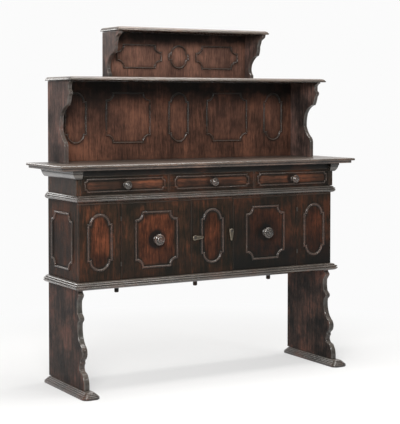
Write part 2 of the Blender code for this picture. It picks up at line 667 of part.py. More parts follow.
# Mouldings under the ends of the table top, each returned on the front for the width of a frieze side
for side, word in ((-1, "left"), (1, "right")):
    base = Z_TOP - COVE_HEIGHT
    points = [(out, base + up * COVE_HEIGHT) for out, up in COVE_PROFILE]
    points += [(0.0, Z_TOP), (0.0, base)]
    outside = CASE_HALF + SEAT
    face = FRONT - SEAT
    loops = [
        [(side * (outside + COVE_OUT * d), BACK, z) for d, z in points],
        [(side * (outside + COVE_OUT * d), face - COVE_FRONT * d, z) for d, z in points],
        [(side * FRIEZE_INNER, face - COVE_FRONT * d, z) for d, z in points],
    ]
    add_object(f"{word}_cove", loft(loops), WALNUT)

# Table top: rounded slab over a set-back strip
edge = FRONT - TOP_OVERHANG
slab = Z_TOP + TOP_STRIP
rise = TOP_THICKNESS - TOP_STRIP
table = [(Z_TOP + SEAT, TOP_STRIP), (slab, TOP_STRIP), (slab, 0.55 * TOP_NOSE), (slab + 0.2 * rise, 0.0),
         (slab + 0.7 * rise, 0.0), (slab + 0.92 * rise, 0.33 * TOP_NOSE), (Z_TABLE, TOP_NOSE)]
stacked_board("table_top", [(z, TOP_WIDTH / 2 - inset, edge + inset) for z, inset in table], WALNUT)

# Gallery: two tiers of scrolled brackets, panelled backs and moulded shelves
for side, word in ((-1, "left"), (1, "right")):
    plank(f"{word}_lower_bracket", side * CASE_HALF, side * (CASE_HALF - BRACKET_THICKNESS),
          LOWER_SCROLL, BACK - SHELF_DEPTH, Z_TABLE + SEAT, Z_SHELF)
    plank(f"{word}_upper_bracket", side * UPPER_WIDTH / 2, side * (UPPER_WIDTH / 2 - BRACKET_THICKNESS),
          UPPER_SCROLL, BACK - TOP_SHELF_DEPTH, Z_UPPER + SEAT, Z_TOP_SHELF)
shelf("gallery_shelf", SHELF_WIDTH / 2, SHELF_DEPTH, Z_SHELF, SHELF_THICKNESS)
shelf("top_shelf", TOP_SHELF_WIDTH / 2, TOP_SHELF_DEPTH, Z_TOP_SHELF, TOP_SHELF_THICKNESS)

face = BACK - PANEL_THICKNESS
inner = CASE_HALF - BRACKET_THICKNESS - SEAT
lower_back = add_object("lower_back_panel", box((-inner, face, Z_TABLE + SEAT), (inner, BACK, Z_SHELF)), PANEL)
z = (Z_TABLE + Z_SHELF) / 2 + BACK_FIELD_RAISE
outer_x = inner - BACK_EDGE_MARGIN - GALLERY_NARROW / 2
for x in (-outer_x, 0.0, outer_x):
    combine(lower_back, bead(arched_outline(GALLERY_NARROW, GALLERY_FIELD_HEIGHT), forward_of(x, face, z),
                             GALLERY_BEAD), "UNION")
for x in (-outer_x / 2, outer_x / 2):
    combine(lower_back, bead(notched_outline(BACK_FIELD_WIDTH, GALLERY_FIELD_HEIGHT, NOTCH_RADIUS),
                             forward_of(x, face, z), GALLERY_BEAD), "UNION")

inner = UPPER_WIDTH / 2 - BRACKET_THICKNESS - SEAT
upper_back = add_object("upper_back_panel", box((-inner, face, Z_UPPER + SEAT), (inner, BACK, Z_TOP_SHELF)), PANEL)
z = (Z_UPPER + Z_TOP_SHELF) / 2 - UPPER_FIELD_DROP
combine(upper_back, bead(arched_outline(GALLERY_NARROW, UPPER_FIELD_HEIGHT), forward_of(0, face, z),
                         GALLERY_BEAD), "UNION")
outer_x = inner - UPPER_EDGE_MARGIN - UPPER_FIELD_WIDTH / 2
for x in (-outer_x, outer_x):
    combine(upper_back, bead(notched_outline(UPPER_FIELD_WIDTH, UPPER_FIELD_HEIGHT, NOTCH_RADIUS),
                             forward_of(x, face, z), GALLERY_BEAD), "UNION")
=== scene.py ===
# %% [markdown]
# # A walnut credenza, dressed for the camera
# The real piece is a low cupboard of dark walnut on two scrolled plank legs, with three shallow
# drawers and a panelled gallery of two stepped tiers. The solids already hold its sizes and its
# moving parts. This lesson gives every board eased arrises, every moulding its full profile, and
# every surface the colour, wear and wax that a few hundred years of use leave on walnut. Some light
# and shade is painted into that colour too: shade under the shelves and overhangs, and a sheen on
# rubbed edges and on what faces up.

# %% Start from the solids
import math

import bmesh
import bpy
import numpy as np
from mathutils import Matrix, Vector, noise


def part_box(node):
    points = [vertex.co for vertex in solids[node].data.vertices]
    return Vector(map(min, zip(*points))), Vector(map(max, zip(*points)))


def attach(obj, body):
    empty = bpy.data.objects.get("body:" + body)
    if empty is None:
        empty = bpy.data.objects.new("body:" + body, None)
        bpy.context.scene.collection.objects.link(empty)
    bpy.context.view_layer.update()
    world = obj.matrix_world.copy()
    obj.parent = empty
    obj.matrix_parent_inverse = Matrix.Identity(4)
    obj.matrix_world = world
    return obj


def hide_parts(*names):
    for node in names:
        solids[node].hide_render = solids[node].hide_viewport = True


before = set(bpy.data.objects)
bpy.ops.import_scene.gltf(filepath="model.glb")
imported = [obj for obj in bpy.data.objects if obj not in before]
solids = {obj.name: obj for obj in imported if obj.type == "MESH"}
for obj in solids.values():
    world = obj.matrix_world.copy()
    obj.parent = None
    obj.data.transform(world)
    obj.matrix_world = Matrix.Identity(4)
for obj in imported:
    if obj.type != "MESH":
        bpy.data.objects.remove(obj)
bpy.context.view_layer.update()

# %% [markdown]
# ## The camera
# The photograph is taken from the left of the front, a little above the table top, with a long lens.
# Its verticals stay almost upright, which a photographer gets by sliding the lens down instead of
# tilting the whole camera. A small tilt and a small shift together give the same framing.

# %% Camera
TILT_DOWN = 2.3119       # degrees below level
TURN_RIGHT = 30.4495     # degrees from looking straight at the front

camera_data = bpy.data.cameras.new("camera")
camera_data.sensor_fit = "HORIZONTAL"
camera_data.sensor_width = 36.0
camera_data.lens = 111.344
camera_data.shift_y = -0.15
camera = bpy.data.objects.new("camera", camera_data)
camera.location = (-2.7931, -4.7551, 1.2202)
camera.rotation_euler = (math.radians(90 - TILT_DOWN), 0.0, -math.radians(TURN_RIGHT))
bpy.context.scene.collection.objects.link(camera)
bpy.context.scene.camera = camera
print("camera at", tuple(camera.location), "lens", camera_data.lens)

# %% [markdown]
# ## Small helpers for node trees
# A material is a drawing of boxes and wires. A few helpers keep that drawing short: one adds a node
# and fills in its settings and input values, and the others make arithmetic, blends and noise
# readable in one line.

# %% Node helpers
def add_node(tree, kind, values=None, **settings):
    """Add a node; values fill its inputs with numbers, or wire them where a socket is given."""
    made = tree.nodes.new(kind)
    for name, value in settings.items():
        setattr(made, name, value)
    for key, value in (values or {}).items():
        if isinstance(value, bpy.types.NodeSocket):
            tree.links.new(value, made.inputs[key])
        else:
            made.inputs[key].default_value = value
    return made


def output(tree, kind, values=None, **settings):
    """First output of a new node."""
    return add_node(tree, kind, values, **settings).outputs[0]


def maths(tree, operation, first, second=0.0, clamp=False):
    return output(tree, "ShaderNodeMath", {0: first, 1: second}, operation=operation, use_clamp=clamp)


def weighted(tree, *parts):
    """Sum of sockets, each times its share."""
    products = [maths(tree, "MULTIPLY", socket, share) for socket, share in parts]
    total = products[0]
    for product in products[1:]:
        total = maths(tree, "ADD", total, product)
    return total


def ramp(tree, value, low, high, start=0.0, end=1.0):
    """Smooth step of a value from low to high."""
    values = {"Value": value, "From Min": low, "From Max": high, "To Min": start, "To Max": end}
    return output(tree, "ShaderNodeMapRange", values, interpolation_type="SMOOTHSTEP")


def blend_colour(tree, share, first, second, mode="MIX"):
    values = {0: share, 6: first, 7: second}
    return add_node(tree, "ShaderNodeMix", values, data_type="RGBA", blend_type=mode).outputs[2]


def cloudy(tree, vector, scale, detail=2.0, roughness=0.5, distortion=0.0):
    values = {"Vector": vector, "Scale": scale, "Detail": detail, "Roughness": roughness,
              "Distortion": distortion}
    return add_node(tree, "ShaderNodeTexNoise", values).outputs["Fac"]


# %% [markdown]
# ## The stage
# A studio shot on white paper: the paper shows as white, and the object keeps its soft shadow on it.
# Such paper is lit from behind as well, so a shadow on it stays pale. The floor mixes ordinary white
# paint with plain white, and further out, measured from the middle of the object, only the plain
# white is left, so there is no horizon line. Light Path tells a ray that shows the background apart
# from a ray that only carries light, so the white shows without lighting the wood. Reflections find
# the paper on the floor and behind the object. In front of it they find the dim room, which keeps
# a white veil off the dark boards.

# %% World and floor
PAPER_WHITE = (0.965, 0.965, 0.965, 1.0)
AWAY_FROM_CAMERA = (0.507, 0.862, 0.0)
ROOM_STRENGTH = 0.24
SHEET_GLOW = 0.50                    # share of plain white in the floor under the object
SHEET_NEAR, SHEET_FAR = 0.85, 1.9    # metres from the middle between which the floor turns plain white
SHEET_HALF = 9.0                     # metres


def shows_background(tree, mirrored=1.0):
    """1 for rays from the eye, through glass, or from a reflection where there is paper to reflect."""
    path = add_node(tree, "ShaderNodeLightPath")
    glossy = maths(tree, "MULTIPLY", path.outputs["Is Glossy Ray"], mirrored)
    either = maths(tree, "MAXIMUM", path.outputs["Is Camera Ray"], glossy)
    return maths(tree, "MAXIMUM", either, path.outputs["Is Transmission Ray"])


world = bpy.data.worlds.new("studio")
bpy.context.scene.world = world
world.use_nodes = True
tree = world.node_tree
tree.nodes.clear()
room = output(tree, "ShaderNodeBackground", {"Color": (0.96, 0.98, 1.0, 1.0), "Strength": ROOM_STRENGTH})
paper = output(tree, "ShaderNodeBackground", {"Color": PAPER_WHITE, "Strength": 1.0})
heading = add_node(tree, "ShaderNodeTexCoord").outputs["Object"]
ahead = add_node(tree, "ShaderNodeVectorMath", {0: heading, 1: AWAY_FROM_CAMERA}, operation="DOT_PRODUCT")
behind = ramp(tree, ahead.outputs["Value"], 0.40, 0.85)
backdrop = output(tree, "ShaderNodeMixShader", {0: shows_background(tree, behind), 1: room, 2: paper})
add_node(tree, "ShaderNodeOutputWorld", {"Surface": backdrop})

floor_look = bpy.data.materials.new("white_paper")
floor_look.use_nodes = True
tree = floor_look.node_tree
tree.nodes.clear()
place = add_node(tree, "ShaderNodeTexCoord").outputs["Object"]
fibres = cloudy(tree, place, 900.0, 3.0)
pale = blend_colour(tree, fibres, (0.76, 0.76, 0.76, 1.0), (0.80, 0.80, 0.80, 1.0))
paint = output(tree, "ShaderNodeBsdfDiffuse", {"Color": pale})
white = output(tree, "ShaderNodeEmission", {"Color": PAPER_WHITE, "Strength": 1.0})
away = add_node(tree, "ShaderNodeVectorMath", {0: place}, operation="LENGTH").outputs["Value"]
plain = ramp(tree, away, SHEET_NEAR, SHEET_FAR, SHEET_GLOW)
far = maths(tree, "MULTIPLY", plain, shows_background(tree))
sheet = output(tree, "ShaderNodeMixShader", {0: far, 1: paint, 2: white})
add_node(tree, "ShaderNodeOutputMaterial", {"Surface": sheet})

bm = bmesh.new()
bmesh.ops.create_grid(bm, x_segments=24, y_segments=24, size=SHEET_HALF)
floor_mesh = bpy.data.meshes.new("floor")
bm.to_mesh(floor_mesh)
bm.free()
floor = bpy.data.objects.new("floor", floor_mesh)
floor_mesh.materials.append(floor_look)
bpy.context.scene.collection.objects.link(floor)
print("floor faces:", len(floor_mesh.polygons))

# %% [markdown]
# ## The lamps
# Four soft boxes stand where a studio would put them. The main one is high on the left, and a wide
# one overhead lifts the upper edges of the mouldings. A small one at the front right puts points of
# light on the knobs, and a weak one behind on the left grazes the sides. All but the small one are
# large, so that the shadows have no hard edge. Each has a place, an aim, a width, a height and watts.

# %% Lamps
LAMP_COLOUR = (1.0, 0.985, 0.96)


def soft_box(name, place, aim, width, height, power):
    lamp = bpy.data.lights.new(name, "AREA")
    lamp.shape = "RECTANGLE"
    lamp.size = width
    lamp.size_y = height
    lamp.energy = power
    lamp.color = LAMP_COLOUR
    made = bpy.data.objects.new(name, lamp)
    made.location = place
    made.rotation_euler = (Vector(aim) - Vector(place)).to_track_quat("-Z", "Y").to_euler()
    bpy.context.scene.collection.objects.link(made)


soft_box("main_light", (-2.2, -2.8, 2.3), (-0.10, 0.0, 0.85), 1.5, 1.3, 145.0)
soft_box("front_light", (2.0, -4.1, 2.9), (0.0, 0.0, 0.8), 0.55, 0.5, 24.0)
soft_box("top_light", (0.3, -0.1, 3.3), (0.3, 0.0, 0.0), 2.4, 1.4, 110.0)
soft_box("rim_light", (-1.25, 2.6, 1.95), (-0.66, 0.0, 0.8), 1.0, 0.7, 12.0)

# %% [markdown]
# ## Walnut grain as a shared effect
# Sawn walnut shows long bands along the board, fine dark pores that follow them, and broad clouds
# where the tree grew unevenly. A wave pattern could draw the bands, but it looks like a zebra.
# Stretched noise is calmer. The group takes coordinates that are already stretched along the grain,
# and three colours from dark to bright, and puts out a colour and a height for the bump.

# %% Group: walnut grain
def new_group(name, inputs, outputs):
    group = bpy.data.node_groups.new(name, "ShaderNodeTree")
    for socket, kind in inputs:
        group.interface.new_socket(socket, in_out="INPUT", socket_type=kind)
    for socket, kind in outputs:
        group.interface.new_socket(socket, in_out="OUTPUT", socket_type=kind)
    return group, add_node(group, "NodeGroupInput").outputs, add_node(group, "NodeGroupOutput").inputs


CLOUD_SHIFT = (8.3, 7.7, 6.4)                 # chooses where the clouds fall on the doors
PORE_SHADE = (0.35, 0.32, 0.30, 1.0)
grain, given, result = new_group(
    "walnut_grain",
    (("Along grain", "NodeSocketVector"), ("Place", "NodeSocketVector"), ("Deep", "NodeSocketColor"),
     ("Heart", "NodeSocketColor"), ("Flame", "NodeSocketColor")),
    (("Colour", "NodeSocketColor"), ("Height", "NodeSocketFloat")))
bands = cloudy(grain, given["Along grain"], 7.0, 5.0, 0.62, 0.7)
streaks = cloudy(grain, given["Along grain"], 30.0, 3.0, 0.6)
moved = output(grain, "ShaderNodeVectorMath", {0: given["Place"], 1: CLOUD_SHIFT}, operation="ADD")
clouds = cloudy(grain, moved, 6.5, 4.0, 0.6)
pores = ramp(grain, cloudy(grain, given["Along grain"], 75.0, 2.0), 0.56, 0.70)
tone = weighted(grain, (bands, 0.28), (clouds, 0.46), (streaks, 0.26))
colour = blend_colour(grain, ramp(grain, tone, 0.41, 0.53), given["Deep"], given["Heart"])
colour = blend_colour(grain, ramp(grain, tone, 0.505, 0.60), colour, given["Flame"])
dark = blend_colour(grain, 1.0, colour, PORE_SHADE, "MULTIPLY")
colour = blend_colour(grain, maths(grain, "MULTIPLY", pores, 0.55), colour, dark)
grain.links.new(colour, result["Colour"])
grain.links.new(weighted(grain, (bands, 0.35), (pores, -0.5)), result["Height"])
print("group:", grain.name, "nodes:", len(grain.nodes))

# %% [markdown]
# ## Wear, dirt, painted light and wax as a second shared effect
# Hands and dusters rub the raised edges until paler wood shows, and old wax mixed with dust turns
# black in the hollows. Each piece stores on its points how much it is rubbed and how dirty it gets.
# The same two masks also carry painted light: a grey sheen on rubbed edges and reeds, and painted
# shade under the shelves and overhangs. The group breaks those two masks up with noise, so that no
# edge is rubbed evenly, lays dust and a painted sheen on what faces up, and puts out the aged
# colour, the roughness of the wax and a slow height for the bump.

# %% Group: years of use
MOST_DARKENING = 0.92
# Dust on what faces up is partly real dust and partly a painted sheen that lifts the tops.
DUST_AND_SHEEN = (0.165, 0.142, 0.124, 1.0)
years, given, result = new_group(
    "years_of_use",
    (("Colour", "NodeSocketColor"), ("Place", "NodeSocketVector"), ("Wear and sheen", "NodeSocketFloat"),
     ("Dirt and shade", "NodeSocketFloat"), ("Dust", "NodeSocketFloat"), ("Rubbed and sheen", "NodeSocketColor"),
     ("Soot and shade", "NodeSocketColor"), ("Polish", "NodeSocketFloat")),
    (("Colour", "NodeSocketColor"), ("Roughness", "NodeSocketFloat"), ("Height", "NodeSocketFloat")))
specks = cloudy(years, given["Place"], 95.0, 4.0, 0.65)
patches = cloudy(years, given["Place"], 13.0, 3.0, 0.6)
uneven = weighted(years, (specks, 0.6), (patches, 0.6))
rubbed_and_sheen = ramp(years, maths(years, "MULTIPLY", given["Wear and sheen"], uneven), 0.22, 0.78)
darkened = maths(years, "MULTIPLY", given["Dirt and shade"], ramp(years, patches, 0.22, 0.62, 0.55, 1.15))
darkened = maths(years, "MINIMUM", darkened, MOST_DARKENING)
# The soot colour goes where the mask is dirty and where it holds painted shade.
aged = blend_colour(years, darkened, given["Colour"], given["Soot and shade"])
# Rubbed colour: wear, and on the grey edges and reeds also a painted sheen.
aged = blend_colour(years, maths(years, "MULTIPLY", rubbed_and_sheen, 0.8), aged, given["Rubbed and sheen"])
# Dust and painted sheen on the faces that look up.
dust_sheen = maths(years, "MULTIPLY", given["Dust"], ramp(years, uneven, 0.30, 0.75, 0.25, 0.62))
aged = blend_colour(years, dust_sheen, aged, DUST_AND_SHEEN)
years.links.new(aged, result["Colour"])
speckled = maths(years, "SUBTRACT", specks, 0.5)
dulled = weighted(years, (speckled, 0.22), (darkened, 0.10), (dust_sheen, 0.18))
wax = maths(years, "ADD", given["Polish"], dulled)
wax = maths(years, "SUBTRACT", wax, maths(years, "MULTIPLY", rubbed_and_sheen, 0.06), True)
years.links.new(wax, result["Roughness"])
years.links.new(patches, result["Height"])
print("group:", years.name, "nodes:", len(years.nodes))

# %% [markdown]
# ## The finishes
# All the walnut came from the same timber, but each board runs its own way, so there is one finish
# for each direction of the grain. Places that look lighter or darker have their own three tones,
# partly their own colour and partly painted light and shade. The panelled boards hold two timbers:
# almost black outside the cartouche and red-brown inside it, where cloths reached. A stored mask says
# where the field is.

# %% Colours of the walnut
def tones(*rows):
    """Deep, heart and flame of a timber, each from red, green and blue."""
    return [(*row, 1.0) for row in rows]


FRAME_TONES = tones((0.0110, 0.0098, 0.0072), (0.034, 0.0190, 0.0120), (0.100, 0.0360, 0.0185))
FIELD_TONES = tones((0.018, 0.0092, 0.0062), (0.060, 0.0215, 0.0118), (0.138, 0.0440, 0.0215))
DRAWER_TONES = tones((0.038, 0.0220, 0.0155), (0.100, 0.0440, 0.0275), (0.200, 0.0720, 0.0380))
BACK_TONES = tones((0.030, 0.0165, 0.0125), (0.086, 0.0410, 0.0280), (0.165, 0.0710, 0.0450))
BACK_FIELD_TONES = tones((0.040, 0.0215, 0.0165), (0.096, 0.0455, 0.0315), (0.165, 0.0740, 0.0480))
UPPER_TONES = tones((0.065, 0.0350, 0.0265), (0.140, 0.0720, 0.0530), (0.230, 0.1150, 0.0800))
LEG_TONES = tones((0.0095, 0.0085, 0.0083), (0.044, 0.0285, 0.0235), (0.140, 0.0640, 0.0470))
BRACKET_TONES = tones((0.0260, 0.0205, 0.0195), (0.098, 0.0650, 0.0560), (0.220, 0.1200, 0.0980))
TOP_TONES = tones((0.042, 0.0300, 0.0230), (0.084, 0.0570, 0.0435), (0.146, 0.0890, 0.0640))
RUBBED = (0.075, 0.060, 0.048, 1.0)
# The grey rubbed colours of plank edges, slabs, reeds and runners are partly wear and partly a painted sheen
# of the light these rounds catch.
RUBBED_EDGE_AND_SHEEN = (0.100, 0.094, 0.084, 1.0)
RUBBED_SLAB_AND_SHEEN = (0.052, 0.049, 0.044, 1.0)
RUBBED_REED_AND_SHEEN = (0.085, 0.078, 0.067, 1.0)
RUBBED_RUNNER_AND_SHEEN = (0.110, 0.100, 0.088, 1.0)
RUBBED_BEAD = (0.062, 0.037, 0.027, 1.0)
RUBBED_KNOB = (0.080, 0.070, 0.060, 1.0)
# The soot colour is dirt in the hollows and also painted shade: under the shelves, on the top rail, between
# the drawers and partly on the right-hand boards.
SOOT_AND_SHADE = (0.0080, 0.0083, 0.0080, 1.0)
print("deepest and brightest walnut:", FRAME_TONES[0], UPPER_TONES[2])

# %% Walnut finishes
STRETCH = {"x": (1.0, 13.0, 13.0), "y": (13.0, 1.0, 13.0), "z": (13.0, 13.0, 1.0)}
COAT_ROUGHNESS = 0.13
PANEL_POLISH, PANEL_LEVEL = 0.37, 0.07


def stored(tree, name):
    return add_node(tree, "ShaderNodeAttribute", attribute_name=name).outputs["Fac"]


def grain_of(tree, place, along, timber):
    """Grain group on coordinates stretched along one axis."""
    stretched = output(tree, "ShaderNodeMapping", {"Vector": place, "Scale": STRETCH[along]})
    deep, heart, flame = timber
    values = {"Along grain": stretched, "Place": place, "Deep": deep, "Heart": heart, "Flame": flame}
    return add_node(tree, "ShaderNodeGroup", values, node_tree=grain).outputs


def new_look(name):
    look = bpy.data.materials.new(name)
    look.use_nodes = True
    shader = look.node_tree.nodes["Principled BSDF"]
    place = add_node(look.node_tree, "ShaderNodeTexCoord").outputs["Object"]
    return look, look.node_tree, shader, place


def age(tree, place, colour, polish, rubbed_and_sheen=RUBBED, darkening=SOOT_AND_SHADE):
    normal = add_node(tree, "ShaderNodeNewGeometry").outputs["Normal"]
    upward = add_node(tree, "ShaderNodeSeparateXYZ", {0: normal}).outputs["Z"]
    values = {"Colour": colour, "Place": place, "Wear and sheen": stored(tree, "wear"), "Dirt and shade": stored(tree, "dirt"),
              "Dust": ramp(tree, upward, 0.15, 0.95), "Rubbed and sheen": rubbed_and_sheen, "Soot and shade": darkening, "Polish": polish}
    return add_node(tree, "ShaderNodeGroup", values, node_tree=years).outputs


def wire(tree, shader, aged, height, depth=0.0006):
    """Join colour, wax and bump to the shader."""
    tree.links.new(aged["Colour"], shader.inputs["Base Color"])
    tree.links.new(aged["Roughness"], shader.inputs["Roughness"])
    wavy = maths(tree, "ADD", height, maths(tree, "MULTIPLY", aged["Height"], 1.6))
    bump = add_node(tree, "ShaderNodeBump", {"Height": wavy, "Distance": depth, "Strength": 0.8})
    tree.links.new(bump.outputs[0], shader.inputs["Normal"])


def walnut(name, along, polish=0.36, timber=FRAME_TONES, rubbed_and_sheen=RUBBED, level=0.20, coat=0.0):
    """One timber; the coat of wax lies only where the wood is rubbed."""
    look, tree, shader, place = new_look(name)
    sawn = grain_of(tree, place, along, timber)
    wire(tree, shader, age(tree, place, sawn["Colour"], polish, rubbed_and_sheen), sawn["Height"])
    shader.inputs["Specular IOR Level"].default_value = level
    if coat:
        tree.links.new(maths(tree, "MULTIPLY", stored(tree, "wear"), coat), shader.inputs["Coat Weight"])
        shader.inputs["Coat Roughness"].default_value = COAT_ROUGHNESS
    return look


def panelled(name, along, outer=FRAME_TONES, inner=FIELD_TONES):
    """Two timbers on one board: inner where the stored field is, outer round it."""
    look, tree, shader, place = new_look(name)
    outside = grain_of(tree, place, along, outer)
    inside = grain_of(tree, place, along, inner)
    colour = blend_colour(tree, stored(tree, "field"), outside["Colour"], inside["Colour"])
    wire(tree, shader, age(tree, place, colour, PANEL_POLISH), outside["Height"])
    shader.inputs["Specular IOR Level"].default_value = PANEL_LEVEL
    return look


WALNUT_X = walnut("walnut_lengthwise", "x")
WALNUT_Y = walnut("walnut_front_to_back", "y")
WALNUT_Z = walnut("walnut_upright", "z")
LEG = walnut("walnut_leg", "z", 0.34, LEG_TONES, RUBBED_EDGE_AND_SHEEN, 0.05, 0.9)
BRACKET = walnut("walnut_bracket", "z", 0.34, BRACKET_TONES, RUBBED_EDGE_AND_SHEEN, 0.05, 0.9)
POLISHED = walnut("walnut_slab", "x", 0.24, TOP_TONES, RUBBED_SLAB_AND_SHEEN, 0.50, 0.35)
MOULDED = walnut("walnut_moulding", "x", 0.22, FRAME_TONES, RUBBED_REED_AND_SHEEN, 0.50, 0.9)
RUNNER = walnut("walnut_runner", "y", 0.24, FRAME_TONES, RUBBED_RUNNER_AND_SHEEN, 0.50, 0.8)
BEADED = walnut("walnut_bead", "x", 0.24, FRAME_TONES, RUBBED_BEAD, 0.40, 0.35)
PANEL = panelled("walnut_panel", "z")
LONG_PANEL = panelled("walnut_long_panel", "z", BACK_TONES, BACK_FIELD_TONES)
UPPER_PANEL = panelled("walnut_upper_panel", "z", UPPER_TONES, UPPER_TONES)
DRAWER = panelled("walnut_drawer_front", "x", inner=DRAWER_TONES)
TURNED = walnut("walnut_turned", "y", 0.20, FRAME_TONES, RUBBED_KNOB, 0.50, 0.9)
print("walnut finishes:", [m.name for m in bpy.data.materials if m.name.startswith("walnut")])

# %% [markdown]
# ## Finishes of the small and hidden parts
# The drawer boxes and the backs are plain softwood that has gone brown. The hinges are iron with
# a brown bloom, and the turn buttons are brass that nobody polishes, dark in the middle and bright
# where fingers push.

# %% Softwood, iron and brass
SOFTWOOD_TONES = tones((0.090, 0.050, 0.026), (0.165, 0.098, 0.052), (0.230, 0.145, 0.082))
SOFTWOOD_RUBBED = (0.30, 0.21, 0.13, 1.0)
SOFTWOOD_SOOT = (0.035, 0.022, 0.014, 1.0)


def softwood(name, along):
    look, tree, shader, place = new_look(name)
    sawn = grain_of(tree, place, along, SOFTWOOD_TONES)
    aged = age(tree, place, sawn["Colour"], 0.62, SOFTWOOD_RUBBED, SOFTWOOD_SOOT)
    wire(tree, shader, aged, sawn["Height"])
    shader.inputs["Specular IOR Level"].default_value = 0.3
    return look


def old_metal(name, bright, bloom, polish):
    look, tree, shader, place = new_look(name)
    stain = ramp(tree, cloudy(tree, place, 210.0, 5.0, 0.6), 0.38, 0.66)
    colour = blend_colour(tree, stain, (*bright, 1.0), (*bloom, 1.0))
    worn = (*[min(1.0, 1.5 * c) for c in bright], 1.0)
    grime = (*[0.4 * c for c in bloom], 1.0)
    wire(tree, shader, age(tree, place, colour, polish, worn, grime), cloudy(tree, place, 900.0, 3.0), 0.0002)
    bare = maths(tree, "SUBTRACT", 0.95, maths(tree, "MULTIPLY", stain, 0.45))
    tree.links.new(bare, shader.inputs["Metallic"])
    return look


SOFTWOOD_X = softwood("softwood_lengthwise", "x")
SOFTWOOD_Y = softwood("softwood_front_to_back", "y")
IRON = old_metal("iron_bloomed", (0.085, 0.079, 0.073), (0.030, 0.022, 0.017), 0.42)
BRASS = old_metal("brass_dull", (0.22, 0.190, 0.145), (0.070, 0.057, 0.041), 0.30)
print("materials in all:", len(bpy.data.materials))

# %% [markdown]
# ## From a drawn mesh to a finished piece
# Every piece goes through the same last steps: normals outward, smooth shading that stops at true
# corners, a finish, a body to ride on, and the solid that it stands for. The masks for wear, dirt
# and field, which also carry painted sheen and painted shade, are stored on the mesh points before
# this.

# %% Finish a piece
made_pieces = []


def finish_piece(name, bm, look, body, stands_for=(), sharp=38.0):
    bmesh.ops.recalc_face_normals(bm, faces=bm.faces)
    mesh = bpy.data.meshes.new(name)
    bm.to_mesh(mesh)
    bm.free()
    mesh.materials.append(look)
    mesh.shade_smooth()
    mesh.set_sharp_from_angle(angle=math.radians(sharp))
    piece = bpy.data.objects.new(name, mesh)
    bpy.context.scene.collection.objects.link(piece)
    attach(piece, body)
    if stands_for:
        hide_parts(*stands_for)
    made_pieces.append(piece)
    return piece


def masks(bm):
    """The three stored masks of a mesh in the making."""
    floats = bm.verts.layers.float
    return [floats.get(name) or floats.new(name) for name in ("wear", "dirt", "field")]


# %% [markdown]
# ## Boards with eased arrises
# A planed board never keeps a knife edge. Its arrises are rounded by a plane stroke and by handling.
# A Bevel modifier would round them too, but a board made as a grid has points all over its faces,
# and those points can carry the masks. Each grid point is pulled onto a box with rounded edges.

# %% Eased board
def ticks(low, high, radius, step):
    """Coordinates along one side: close together in the rounded arris, even in between."""
    start, end = low + 2.4 * radius, high - 2.4 * radius
    count = max(1, round((end - start) / step))
    inner = [start + (end - start) * i / count for i in range(count + 1)]
    return [low, low + 0.42 * radius, low + radius] + inner + [high - radius, high - 0.42 * radius, high]


def eased_board(low, high, radius=0.0014, step=0.03):
    bm = bmesh.new()
    wear = masks(bm)[0]
    marks = [ticks(a, b, radius, step) for a, b in zip(low, high)]
    last = [len(m) - 1 for m in marks]
    made = {}

    def point(ijk):
        if ijk not in made:
            raw = Vector([marks[a][ijk[a]] for a in range(3)])
            core = Vector([min(max(raw[a], low[a] + radius), high[a] - radius) for a in range(3)])
            out = raw - core
            made[ijk] = bm.verts.new(core + out.normalized() * radius)
            made[ijk][wear] = 1.0 if sum(abs(c) > 1e-7 for c in out) > 1 else 0.0
        return made[ijk]

    for axis in range(3):
        a, b = (axis + 1) % 3, (axis + 2) % 3
        for end in (0, last[axis]):
            for i in range(last[a]):
                for j in range(last[b]):
                    ring = []
                    for di, dj in ((0, 0), (1, 0), (1, 1), (0, 1)):
                        ijk = [0, 0, 0]
                        ijk[axis], ijk[a], ijk[b] = end, i + di, j + dj
                        ring.append(point(tuple(ijk)))
                    bm.faces.new(ring if end else ring[::-1])
    return bm


# %% Boards that are plain boxes
SIDES = ("left", "right")
SIGNED_SIDES = ((-1, "left"), (1, "right"))
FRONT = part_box("top_rail")[0].y
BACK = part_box("case_back")[1].y
CASE_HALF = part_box("dust_board")[1].x
SEAT = 0.0003              # gap between pieces that touch
BOARD = 0.0197             # thickness of the bottom board and of the dust board
LIP_DEPTH = 0.020          # lip under the dust board, front to back
STRIP_DEPTH = 0.040        # corner strips of the frieze, front to back
STRIP_CLEAR = 0.0005       # corner strips, behind the front and above the waist


# A plain board can be darkened all over; this darkening is painted shade.
def plain_board(node, look, low=None, high=None, name=None, stands_for=True, darkening=0.0):
    box_low, box_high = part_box(node)
    bm = eased_board(low or box_low, high or box_high)
    dirt = masks(bm)[1]
    for vert in bm.verts:
        vert[dirt] = darkening
    return finish_piece(name or f"{node}_eased", bm, look, "carcass", (node,) if stands_for else ())


